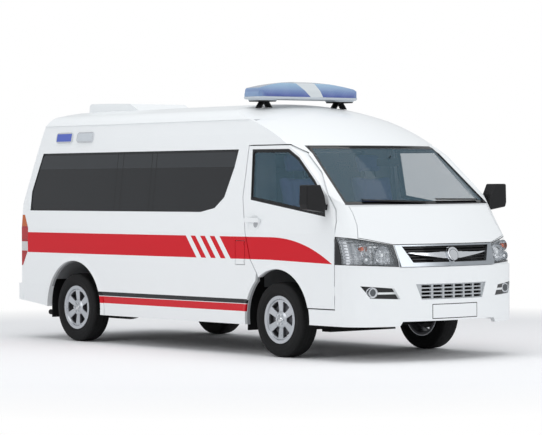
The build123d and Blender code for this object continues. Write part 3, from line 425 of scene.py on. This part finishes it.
drum_depth, drum_radius = 0.042, 0.140
barrel_depth, barrel_radius = 0.060, 0.200
rim_alloy = worked("rim_alloy", rim_dark, rim_pale, 0.30, 0.75, 12, 0.0001)
rim_depth = rim_alloy.out_x - half_track
rim_reach = radius_from(*from_axle(rim_alloy))
# painted shade: deep inside the rim the barrel is darkened, and the brake drum is made near black,
# darker than its own iron
drum_and_shade = (rim_depth < drum_depth) * (rim_reach < drum_radius)
shaded_barrel = (rim_depth < barrel_depth) * (rim_reach < barrel_radius)
rim_shade = mix(shaded_barrel, mix(rim_alloy.noise(12), rim_dark, rim_pale), (0.10, 0.10, 0.11))
rim_alloy.set(base_color=mix(drum_and_shade, rim_shade, (0.02, 0.02, 0.022)))
rim_alloy.set(metallic=0.75 - either(drum_and_shade, shaded_barrel) * 0.5)
paint_all(["rim_" + end for end in ends], rim_alloy)

bar_foot_top = 2.258
bar_base = Finish("bar_base", roughness=0.38)
bar_tone = mix(bar_base.noise(20), (0.50, 0.55, 0.60), (0.58, 0.62, 0.66))
bar_base.set(base_color=mix(bar_base.z < bar_foot_top, bar_tone, (0.01, 0.01, 0.011)))
paint_all(["light_bar_base"], bar_base)
surround = worked("grille_surround", (0.40, 0.43, 0.46), (0.47, 0.50, 0.53), 0.30, 0.9, 12, 0.0001)
paint_all(["grille_surround"], surround)
print("finishes:", len(finishes))

# %% [markdown]
# Tyres: the tread's grooves and cross cuts, and the rings on the sidewall, could be
# cut into the mesh. They are only a few millimetres deep, so a relief in the
# material does, worked out from the place round each axle. A real tyre is moulded,
# so the pattern repeats exactly.

# %%
tread_radius = 0.316
rib_places, rib_width = (0.014, 0.048), 0.007
cut_count, cut_sweep, cut_share = 72, 9, 0.16
ring_rows = [(0.236, 0.239), (0.292, 0.296)]
tyre = Finish("tyre_rubber", coat_weight=0.0)
behind_axle, above_axle = from_axle(tyre)
reach = radius_from(behind_axle, above_axle)
turn = behind_axle.math("ARCTAN2", above_axle)
across_tread = (tyre.out_x - half_track).math("ABSOLUTE")
ribs = either(*[between(place, across_tread, place + rib_width) for place in rib_places])
cuts = (turn * (cut_count / math.tau) + across_tread * cut_sweep).math("FRACT") < cut_share
cuts = cuts * (across_tread > rib_places[0] + rib_width)
on_tread = reach > tread_radius
groove = either(ribs, cuts) * on_tread
rings = either(*[between(low, reach, high) for low, high in ring_rows]) * (1.0 - on_tread)
dust = tyre.noise(26)
# painted shade: the tread's grooves and cuts are coloured darker than the rubber around them
tyre.set(base_color=mix(groove, mix(dust, rubber_dark, rubber_pale), (0.004, 0.004, 0.004)))
tyre.set(roughness=dust * 0.2 + 0.62)
tyre.bump(rings * 0.3 + 0.6 - groove, 0.005, 0.8)
paint_all(["tyre_" + end for end in ends] + ["spare_wheel"], tyre)
print("tyres:", len(ends))

# %% [markdown]
# Lamps: each lens is one CAD solid, and its chambers are areas worked out from its
# place, as a real lens is moulded in one piece from several colours. The high side
# lamps have bright rims, the rear one blue and the front one clear. A tail lamp has
# an orange, a clear and red chambers. A fog lamp is a bright ring with a bright bar
# beside it. The light bar is blue, with a clear part in the middle, and its blue is
# made paler towards the top and the ends as a painted reflection of the sky.

# %%
side_lamp_z, side_lamp_half = 1.964, 0.037
side_lamps_y, lamp_near, lamp_far = 1.78, 0.051, 0.299
side_lens = Finish("side_lamps", roughness=0.10, coat_weight=1.0)
lens_high = (side_lens.z - side_lamp_z).math("ABSOLUTE")
lens_along = (side_lens.y - side_lamps_y).math("ABSOLUTE")
rim = either(lens_high > side_lamp_half, lens_along < lamp_near, lens_along > lamp_far)
side_flutes = ridges(side_lens.y, 60)
clear_glow = mix(side_flutes, (0.50, 0.54, 0.58), (0.80, 0.84, 0.88))
glow = mix(side_lens.y > side_lamps_y, clear_glow, (0.06, 0.11, 0.50))
side_lens.set(base_color=mix(rim, glow, (0.75, 0.77, 0.80)), metallic=rim * 0.9)
side_lens.bump(side_flutes, 0.002, 0.5)
paint_all(["side_lamps"], side_lens)

amber_low, amber_top, clear_low, clear_top = 1.10, 1.21, 0.86, 0.95
tail_lamp_low, chambers_per_metre, line_share = 0.714, 8.0, 0.03
tail_lens = Finish("tail_lamps", roughness=0.12, coat_weight=1.0)
chamber_line = ((tail_lens.z - tail_lamp_low) * chambers_per_metre).math("FRACT") < line_share
shade = mix(between(amber_low, tail_lens.z, amber_top), (0.42, 0.004, 0.008), (0.50, 0.10, 0.01))
shade = mix(between(clear_low, tail_lens.z, clear_top), shade, (0.62, 0.60, 0.60))
tail_lens.set(base_color=mix(chamber_line * 0.8, shade, (0.02, 0.0, 0.0)))
tail_lens.bump(ridges(tail_lens.z, 160), 0.001, 0.4)
paint_all(["tail_lamps"], tail_lens)

fog_x, fog_z, fog_glass_radius, fog_ring_radius = 0.768, 0.588, 0.031, 0.046
fog_bar_low, fog_bar_top, fog_bar_end = 0.572, 0.590, 0.722
fog = Finish("fog_lamps", coat_weight=0.8)
fog_reach = radius_from(fog.out_x - fog_x, fog.z - fog_z)
fog_ring = between(fog_glass_radius, fog_reach, fog_ring_radius)
fog_glass = fog_reach < fog_glass_radius
fog_bar = between(fog_bar_low, fog.z, fog_bar_top) * (fog.out_x < fog_bar_end)
pocket = mix(fog_bar, (0.006, 0.006, 0.007), (0.80, 0.82, 0.83))
fog.set(base_color=mix(fog_ring, mix(fog_glass, pocket, (0.10, 0.11, 0.12)), (0.8, 0.82, 0.85)))
fog.set(metallic=fog_ring * 0.95 + fog_glass * 0.4, roughness=0.45 - either(fog_ring, fog_glass) * 0.35)
paint_all(["fog_lamps"], fog)

lens_middle_z, clear_left, clear_right, left_slope, right_slope = 2.36, -0.055, 0.13, 0.7, 0.15
pale_low, pale_end, fade_per_metre = 0.055, 0.50, 9.0
blue_lens = Finish("light_bar_lenses", roughness=0.08, coat_weight=1.0)
rise = blue_lens.z - lens_middle_z
clear_part = (blue_lens.x + rise * left_slope) > clear_left
clear_part = clear_part * ((blue_lens.x + rise * right_slope) < clear_right)
bar_flutes = ridges(blue_lens.x, 55)
deep = mix(bar_flutes, (0.075, 0.11, 0.36), (0.13, 0.19, 0.50))
sky_reflection_blue = mix(bar_flutes, (0.30, 0.48, 0.66), (0.42, 0.62, 0.78))
# painted reflection: the blue turns paler towards the top of the lens and towards its ends
top_reflection_share = capped((rise + pale_low) * fade_per_metre)
end_reflection_share = capped((blue_lens.out_x - pale_end) * fade_per_metre)
blue = mix(either(top_reflection_share, end_reflection_share * 0.7), deep, sky_reflection_blue)
blue_lens.set(base_color=mix(clear_part, blue, (0.60, 0.64, 0.66)))
blue_lens.set(alpha=clear_part * 0.16 + 0.84)
blue_lens.bump(bar_flutes, 0.0012, 0.35)
paint_all(["light_bar_lenses"], blue_lens)

lens_edge_width = 0.007
clear_lens = Finish("headlamp_lens", roughness=0.04, coat_weight=0.6)
lens_edge = far_out(clear_lens.out_x, clear_lens.z, lamp_outline) > -lens_edge_width
clear_lens.set(base_color=mix(lens_edge, (0.80, 0.86, 0.90), (0.01, 0.01, 0.011)))
clear_lens.set(alpha=lens_edge * 0.8 + 0.12)
clear_lens.bump(ridges(clear_lens.x, 90), 0.0012, 0.4)
paint_all(["headlamps"], clear_lens)
print("lamp finishes: 5")

# %% [markdown]
# The grille: dark slats, with a bright bar like two wings and a disc in front of
# them. The CAD solid has their relief, and plating is a mask. The bar's outline comes
# from how its height narrows towards its tips. The disc stays bare.

# %%
wing_top_z, wing_step, wing_low_z, wing_rise = 0.922, 0.003, 0.868, 0.130
wing_root, wing_step_start, wing_step_end, wing_end = 0.10, 0.13, 0.46, 0.462
disc_z, disc_radius, ring_inner, ring_outer = 0.897, 0.064, 0.044, 0.048
grille = Finish("grille", coat_weight=0.3)
wing_top = wing_top_z - between(wing_step_start, grille.out_x, wing_step_end) * wing_step
wing_low = wing_low_z + above_zero(grille.out_x - wing_root) * wing_rise
wing = between(wing_low, grille.z, wing_top) * (grille.out_x < wing_end)
disc_reach = radius_from(grille.out_x, grille.z - disc_z)
bright = either(wing, disc_reach < disc_radius)
plating = mix(between(ring_inner, disc_reach, ring_outer), (0.78, 0.80, 0.83), (0.2, 0.2, 0.22))
grille.set(base_color=mix(bright, (0.003, 0.003, 0.0035), plating))
grille.set(metallic=bright * 0.95, roughness=0.75 - bright * 0.60)
paint_all(["grille_insert"], grille)
print("grille: slats and bar")

# %% [markdown]
# Small pieces are made with a few mesh builders. `block` is a box with rounded
# edges, `lathe` spins a profile, as a lathe or a mould would, `rod` is round bar
# between two points, and `plate` is a cut sheet. Lists of vertices would do too, but
# say less. `piece` closes the mesh and lets it ride on a CAD body.


# %%
def block(bed, low, high, edge=0.0, turn=None):
    """A box between two corners, its edges rounded, turned about its middle."""
    made = bmesh.ops.create_cube(bed, size=1)["verts"]
    low, high = Vector(low), Vector(high)
    bmesh.ops.scale(bed, vec=high - low, verts=made)
    if turn:
        bmesh.ops.rotate(bed, cent=(0, 0, 0), matrix=turn, verts=made)
    bmesh.ops.translate(bed, vec=(low + high) / 2, verts=made)
    if edge:
        edges = list({line for vert in made for line in vert.link_edges})
        bmesh.ops.bevel(
            bed, geom=edges, offset=edge, segments=3, affect="EDGES", profile=0.5, material=-1
        )


def lathe(bed, profile, place, axis, steps=32):
    """Spins (radius, along) points about an axis through a place."""
    turn = Vector((0, 0, 1)).rotation_difference(Vector(axis))
    spots = [turn @ Vector((radius, 0, along)) + Vector(place) for radius, along in profile]
    line = [bed.verts.new(spot) for spot in spots]
    edges = [bed.edges.new(pair) for pair in zip(line, line[1:])]
    bmesh.ops.spin(
        bed, geom=line + edges, cent=place, axis=axis, angle=2 * math.pi, steps=steps, use_merge=True
    )


def rod(bed, start, end, radius, sides=12):
    """Round bar between two points."""
    start, end = Vector(start), Vector(end)
    turn = Vector((0, 0, 1)).rotation_difference(end - start).to_matrix().to_4x4()
    bmesh.ops.create_cone(
        bed, cap_ends=True, segments=sides, radius1=radius, radius2=radius,
        depth=(end - start).length, matrix=Matrix.Translation((start + end) / 2) @ turn,
    )


def plate(bed, outline, front, rear):
    """A sheet cut to an outline of (across, height) points, from its front to its rear face."""
    face = bed.faces.new([bed.verts.new((across, front, height)) for across, height in outline])
    made = bmesh.ops.extrude_face_region(bed, geom=[face])["geom"]
    far_verts = [part for part in made if isinstance(part, bmesh.types.BMVert)]
    bmesh.ops.translate(bed, vec=Vector((0, rear - front, 0)), verts=far_verts)


def piece(name, body, finish, bed):
    """Closes a mesh into a named object that rides on a CAD body."""
    bmesh.ops.remove_doubles(bed, verts=bed.verts, dist=0.00001)
    bmesh.ops.recalc_face_normals(bed, faces=bed.faces)
    mesh = bpy.data.meshes.new(name)
    bed.to_mesh(mesh)
    bed.free()
    mesh.polygons.foreach_set("use_smooth", [True] * len(mesh.polygons))
    mesh.set_sharp_from_angle(angle=math.radians(35))
    mesh.materials.append(finish.material)
    made = bpy.data.objects.new(name, mesh)
    bpy.context.scene.collection.objects.link(made)
    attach(made, body)


def on_surface(node, place, direction):
    """Where a straight line first meets a CAD node."""
    return nodes[node].ray_cast(Vector(place), Vector(direction))[1]


bpy.context.view_layer.update()
print("mesh builders ready")

# %% [markdown]
# Headlamps: behind the clear lens stand a bright housing and spun bowls, as they
# are pressed and plated in reality: a large one for the road light and two small
# ones, of which one has an amber bulb for the indicator. The housing could be drawn
# anew, but a copy of the lens, made a little smaller and set back, always fits.

# %%
amber = worked("amber_bulb", (0.55, 0.07, 0.01), (0.65, 0.12, 0.02), 0.2, 0, 20, 0.0001)
bulb_glass = worked("bulb_glass", (0.75, 0.78, 0.80), (0.85, 0.87, 0.89), 0.12, 0.2, 20, 0.0001)
reflector = Finish("reflector", metallic=0.9, roughness=0.18)
facets = ridges(reflector.x, 26)
reflector.set(base_color=mix(facets, (0.30, 0.31, 0.33), (0.80, 0.82, 0.85)))
reflector.bump(facets + ridges(reflector.z, 40) * 0.5, 0.012, 0.8)
bowl_rows = [
    (0.665, 0.900, 0.078, bulb_glass),
    (0.815, 0.955, 0.050, amber),
    (0.800, 0.865, 0.040, bulb_glass),
]
bowl_profile = [(1.0, 0.0), (0.93, 0.020), (0.72, 0.045), (0.32, 0.065), (0.0, 0.068)]
bulb_profile = [(0.0, 0.0), (0.014, 0.006), (0.018, 0.020), (0.012, 0.056)]
bowl_set_back, bulb_set_back = 0.024, 0.020
housing_depth, housing_share = 0.070, 0.985
housing_x, housing_z = 0.745, 0.93
start_y = -4


def lamp_place(side, across, height, set_back):
    """A place behind the headlamp's lens."""
    lens = on_surface("headlamps", (side * across, start_y, height), (0, 1, 0))
    return (side * across, lens.y + set_back, height)


for side_name, side in (("left", 1), ("right", -1)):
    bed = bmesh.new()
    for across, height, radius, _ in bowl_rows:
        profile = [(radius * share, along) for share, along in bowl_profile]
        lathe(bed, profile, lamp_place(side, across, height, bowl_set_back), (0, 1, 0))
    piece("headlamp_bowls_" + side_name, "body", chrome, bed)
    bed = bmesh.new()
    bed.from_mesh(nodes["headlamps"].data)
    bmesh.ops.remove_doubles(bed, verts=bed.verts, dist=0.00001)
    other_side = [vert for vert in bed.verts if vert.co.x * side < 0]
    bmesh.ops.delete(bed, geom=other_side, context="VERTS")
    for vert in bed.verts:
        vert.co.x = side * housing_x + (vert.co.x - side * housing_x) * housing_share
        vert.co.z = housing_z + (vert.co.z - housing_z) * housing_share
        vert.co.y += housing_depth
    piece("headlamp_housing_" + side_name, "body", reflector, bed)
    for across, height, radius, finish in bowl_rows:
        bed = bmesh.new()
        lathe(bed, bulb_profile, lamp_place(side, across, height, bulb_set_back), (0, 1, 0), 20)
        piece("bulb_%s_%d" % (side_name, round(across * 1000)), "body", finish, bed)
print("headlamp bowls:", 2 * len(bowl_rows))

# %% [markdown]
# Warning beacons turn inside the light bar: a mirror drum on a foot under the blue
# lens. They are seen only as shapes through it, so one spun profile each is enough.

# %%
beacon_places, beacon_y, beacon_z = (-0.44, -0.27, 0.27, 0.44), -0.65, 2.293
beacon_profile = [(0.0, 0.002), (0.055, 0.002), (0.055, 0.012), (0.020, 0.016)]
beacon_profile += [(0.042, 0.030), (0.046, 0.080), (0.0, 0.086)]
bed = bmesh.new()
for across in beacon_places:
    lathe(bed, beacon_profile, (across, beacon_y, beacon_z), (0, 0, 1), 24)
piece("beacons", "body", chrome, bed)
print("beacons:", len(beacon_places))

# %% [markdown]
# Each wheel gets its six nuts and a centre cap. They are turned and pressed parts
# that ride with the wheel, so they are spun about its axle, a nut in six steps.

# %%
hub_face, nut_circle, nut_radius, nut_count = 0.076, 0.042, 0.0095, 6
hub_rows = {"front": (front_axle_y, 0.8275), "rear": (front_axle_y + wheelbase, 0.825)}
cap_profile = [(0.0, 0.010), (0.018, 0.009), (0.026, 0.004), (0.028, -0.002)]
nut_profile = [(nut_radius, -0.002), (nut_radius, 0.009), (nut_radius * 0.7, 0.012), (0.0, 0.012)]
for end in ends:
    axle_end, side_name = end.split("_")
    side = 1 if side_name == "left" else -1
    axle_y, hub_x = hub_rows[axle_end]
    face = Vector((side * (hub_x + hub_face), axle_y, axle_z))
    bed = bmesh.new()
    lathe(bed, cap_profile, face, (side, 0, 0), 32)
    for step in range(nut_count):
        turn = step * math.tau / nut_count
        spot = face + Vector((0, nut_circle * math.cos(turn), nut_circle * math.sin(turn)))
        lathe(bed, nut_profile, spot, (side, 0, 0), 6)
    piece("hub_" + end, "wheel_" + end, chrome, bed)
print("wheel hubs:", len(ends))

# %% [markdown]
# Mirrors get a sheet of silvered glass in their rear faces, cut to the housing's
# outline, because a bright face of the housing would have no edge. A second, small
# mirror hangs behind the windscreen.

# %%
mirror_glass = worked("mirror_glass", (0.62, 0.66, 0.70), (0.70, 0.74, 0.78), 0.05, 1.0, 10, 0.00001)
mirror_outline = [(1.148, 1.484), (1.151, 1.334), (1.142, 1.304), (0.985, 1.280)]
mirror_outline += [(0.962, 1.302), (0.974, 1.396), (1.018, 1.484)]
mirror_front, mirror_rear = -2.0225, -2.0195
for side_name, side in (("left", 1), ("right", -1)):
    bed = bmesh.new()
    plate(bed, [(side * across, height) for across, height in mirror_outline], mirror_front, mirror_rear)
    piece("mirror_glass_" + side_name, "door_" + side_name, mirror_glass, bed)
bed = bmesh.new()
block(bed, (-0.125, -1.845, 1.655), (0.125, -1.825, 1.725), 0.008)
rod(bed, (0, -1.84, 1.70), (0, -1.872, 1.745), 0.006)
piece("cab_mirror", "body", plastic, bed)
print("mirrors: 3")

# %% [markdown]
# Tail: a number plate without a number in its black frame, its lamp, a grab handle,
# two upper hinges and a high stop lamp. All are screwed to the tailgate, so they lift
# with it. The tail is bowed, so each is put where a line from behind meets it.

# %%
beyond_tail = 4
plate_height, plate_low, plate_top, plate_half = 0.72, 0.665, 0.775, 0.26
frame_low, frame_top, frame_half = 0.653, 0.787, 0.272
hinge_x, hinge_height, stop_lamp_height = 0.30, 2.03, 1.90


def behind(across, height):
    """A place on the tailgate's outer face."""
    return on_surface("tailgate_shell", (across, beyond_tail, height), (0, -1, 0))


plate_y = behind(0, plate_height).y
bed = bmesh.new()
block(bed, (-plate_half, plate_y - 0.002, plate_low), (plate_half, plate_y + 0.003, plate_top), 0.001)
piece("rear_plate", "tailgate", plate_white, bed)
bed = bmesh.new()
block(bed, (-frame_half, plate_y - 0.004, frame_low), (frame_half, plate_y + 0.001, frame_top), 0.001)
block(bed, (-0.15, plate_y - 0.004, 0.80), (0.15, plate_y + 0.026, 0.835), 0.006)
block(bed, (-0.09, plate_y - 0.004, 0.93), (0.09, plate_y + 0.030, 0.975), 0.010)
for across in (-hinge_x, hinge_x):
    spot = behind(across, hinge_height)
    block(bed, spot - Vector((0.05, 0.03, 0.012)), spot + Vector((0.05, 0.014, 0.012)), 0.004)
piece("tailgate_handle", "tailgate", plastic, bed)
bed = bmesh.new()
spot = behind(0, stop_lamp_height)
block(bed, spot - Vector((0.14, 0.02, 0.014)), spot + Vector((0.14, 0.010, 0.014)), 0.005)
piece("high_stop_lamp", "tailgate", tail_lens, bed)
print("tail pieces: 3")

# %% [markdown]
# Left side: the sliding door's handle and the cover of its lower runner are pressed
# pieces on the outer panel, so two rounded boxes are close enough.

# %%
bed = bmesh.new()
block(bed, (0.938, 0.10, 1.13), (0.957, 0.27, 1.165), 0.006)
block(bed, (0.936, -0.83, 0.52), (0.946, -0.74, 0.55), 0.003)
piece("sliding_door_handle", "body", plastic, bed)
print("sliding door: handle")

# %% [markdown]
# Cab: a hooded instrument panel, a radio panel, air vents and a gear lever stand on
# the plain dashboard, where they show through the glass. Only their outlines are
# seen there, so rounded boxes, a rod and a spun knob do.

# %%
hood_turn = Matrix.Rotation(math.radians(-20), 3, "X")
knob_profile = [(0.0, -0.020), (0.016, -0.012), (0.020, 0.004), (0.012, 0.020), (0.0, 0.024)]
bed = bmesh.new()
block(bed, (-0.60, -2.06, 1.235), (-0.24, -1.93, 1.315), 0.020, hood_turn)
block(bed, (-0.12, -1.985, 1.02), (0.12, -1.93, 1.20), 0.010)
for across in (-0.76, -0.17, 0.17, 0.76):
    block(bed, (across - 0.045, -1.97, 1.15), (across + 0.045, -1.925, 1.20), 0.006)
piece("instrument_panel", "body", plastic, bed)
bed = bmesh.new()
rod(bed, (0, -1.80, 0.826), (0, -1.86, 1.08), 0.008)
lathe(bed, knob_profile, (0, -1.862, 1.09), (0, -0.23, 0.97), 20)
piece("gear_lever", "body", plastic, bed)
print("cab fittings: 2")

# %% [markdown]
# Seats: each cushion, back and head restraint is foam in a sewn cloth cover. It could
# be shaped by hand, but cloth swells truer. A box a little smaller than its CAD solid
# is remeshed into even squares and blown up by cloth simulation, with a cap on how
# far a point may move. Sewn channels are then pressed in, and both seats use the
# same meshes.

# %%
seat_x, back_lean = 0.42, -14
even_size, last_moment, pressure = 0.006, 20, 4
channel_width, channel_depth = 0.007, 0.006


def evaluated(pad):
    return pad.evaluated_get(bpy.context.evaluated_depsgraph_get())


def swell(mesh, name, cap):
    """The mesh blown up by cloth pressure, no point moving further than the cap."""
    pad = bpy.data.objects.new(name, mesh)
    bpy.context.scene.collection.objects.link(pad)
    remesh = pad.modifiers.new("even", "REMESH")
    remesh.mode = "VOXEL"
    remesh.voxel_size = even_size
    bpy.context.view_layer.update()
    even = bpy.data.meshes.new_from_object(evaluated(pad))
    pad.modifiers.clear()
    pad.data = even
    cloth = pad.modifiers.new("fill", "CLOTH")
    cloth.settings.use_pressure = True
    cloth.settings.uniform_pressure_force = pressure
    cloth.settings.effector_weights.gravity = 0
    cloth.point_cache.frame_start = 1
    cloth.point_cache.frame_end = last_moment
    for moment in range(1, last_moment + 1):
        bpy.context.scene.frame_set(moment)
    swollen = evaluated(pad).to_mesh()
    for vert, moved in zip(even.vertices, swollen.vertices):
        step = moved.co - vert.co
        vert.co = vert.co + step * min(1.0, cap / max(step.length, 0.000001))
    pad.modifiers.clear()
    bpy.context.scene.frame_set(1)
    bpy.data.objects.remove(pad)
    return even


def press_channels(mesh, places):
    """Sewn channels from front to rear or top to bottom, pressed into the pad's skin."""
    for vert in mesh.vertices:
        groove = sum(math.exp(-(((vert.co.x - place) / channel_width) ** 2)) for place in places)
        vert.co = vert.co - vert.normal * channel_depth * groove


def seat_pad(name, cad_node, pad_y, pad_z, size, cap, channels=(), lean=0):
    """Makes a pad on the left seat, and its copy on the right one."""
    bed = bmesh.new()
    made = bmesh.ops.create_cube(bed, size=1)["verts"]
    bmesh.ops.scale(bed, vec=size, verts=made)
    bmesh.ops.bevel(
        bed, geom=list(bed.edges), offset=min(size) * 0.35, segments=4, affect="EDGES",
        profile=0.5, material=-1,
    )
    mesh = bpy.data.meshes.new(name)
    bed.to_mesh(mesh)
    bed.free()
    mesh = swell(mesh, name, cap)
    press_channels(mesh, channels)
    mesh.materials.clear()
    mesh.materials.append(seat_cloth.material)
    mesh.polygons.foreach_set("use_smooth", [True] * len(mesh.polygons))
    turn = Matrix.Rotation(math.radians(lean), 4, "X")
    for side_name, side in (("left", 1), ("right", -1)):
        copy = mesh.copy()
        copy.transform(Matrix.Translation((side * seat_x, pad_y, pad_z)) @ turn)
        pad = bpy.data.objects.new(name + "_" + side_name, copy)
        bpy.context.scene.collection.objects.link(pad)
        finer = pad.modifiers.new("finer", "SUBSURF")
        finer.levels = finer.render_levels = 1
        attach(pad, "body")
        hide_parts(cad_node)


seat_pad(
    "seat_cushion", "seat_cushions", -1.56, 0.949, (0.445, 0.445, 0.080), 0.022, (-0.14, 0.14)
)
seat_pad(
    "seat_back", "seat_backs", -1.185, 1.290, (0.440, 0.085, 0.570), 0.022, (-0.13, 0.13), back_lean
)
seat_pad(
    "head_restraint", "seat_backs", -1.085, 1.690, (0.245, 0.072, 0.150), 0.014, lean=back_lean
)
bed = bmesh.new()
for middle in (-seat_x, seat_x):
    for across in (-0.06, 0.06):
        rod(bed, (middle + across, -1.120, 1.56), (middle + across, -1.098, 1.65), 0.006)
    block(bed, (middle - 0.16, -1.36, 0.90), (middle + 0.16, -1.26, 0.94), 0.008)
piece("seat_frames", "body", plastic, bed)
print("seats: 2")

# %% [markdown]
# The stage: a pale floor and soft light. The sky is white to the camera, and the
# floor fades into it far from the van. Brighter lamps would whiten it too, but would
# wash out the van's own paint.

# %%
floor_radius, fade_start, fade_rate = 60, 5.0, 0.4
bed = bmesh.new()
bmesh.ops.create_circle(bed, segments=96, radius=floor_radius, cap_ends=True)
floor_mesh = bpy.data.meshes.new("floor")
bed.to_mesh(floor_mesh)
bed.free()
floor = bpy.data.objects.new("floor", floor_mesh)
bpy.context.scene.collection.objects.link(floor)
ground = Finish("ground", base_color=(0.93, 0.93, 0.94), roughness=0.9)
far = capped((radius_from(ground.x, ground.y) - fade_start) * fade_rate)
tree = ground.tree
white_out = tree.nodes.new("ShaderNodeEmission")
blend = tree.nodes.new("ShaderNodeMixShader")
seen = Val(tree, tree.nodes.new("ShaderNodeLightPath").outputs["Is Camera Ray"])
put(tree, blend.inputs[0], far * seen)
tree.links.new(ground.shader.outputs[0], blend.inputs[1])
tree.links.new(white_out.outputs[0], blend.inputs[2])
tree.links.new(blend.outputs[0], tree.nodes["Material Output"].inputs[0])
floor_mesh.materials.append(ground.material)

world = bpy.data.worlds.new("sky")
bpy.context.scene.world = world
world.use_nodes = True
sky_tree = world.node_tree
backdrop = sky_tree.nodes["Background"]
backdrop.inputs["Color"].default_value = (0.95, 0.975, 1.0, 1)
backdrop.inputs["Strength"].default_value = 0.62
plain = sky_tree.nodes.new("ShaderNodeBackground")
plain.inputs["Color"].default_value = (1, 1, 1, 1)
path = sky_tree.nodes.new("ShaderNodeLightPath")
choose = sky_tree.nodes.new("ShaderNodeMixShader")
sky_tree.links.new(path.outputs["Is Camera Ray"], choose.inputs[0])
sky_tree.links.new(backdrop.outputs[0], choose.inputs[1])
sky_tree.links.new(plain.outputs[0], choose.inputs[2])
sky_tree.links.new(choose.outputs[0], sky_tree.nodes["World Output"].inputs[0])

light_rows = [
    ("overhead", (-1, -1, 9), (0, 0, 0), 9, 330),
    ("front_fill", (2, -12, 5), (0, -1, 1), 6, 260),
    ("side_fill", (-12, 0, 6), (0, 0, 1), 7, 260),
]
for name, place, target, size, power in light_rows:
    data = bpy.data.lights.new(name, "AREA")
    data.size = size
    data.energy = power
    lamp = bpy.data.objects.new(name, data)
    lamp.location = place
    lamp.rotation_mode = "QUATERNION"
    lamp.rotation_quaternion = (Vector(target) - Vector(place)).to_track_quat("-Z", "Y")
    bpy.context.scene.collection.objects.link(lamp)
print("lights:", len(light_rows))
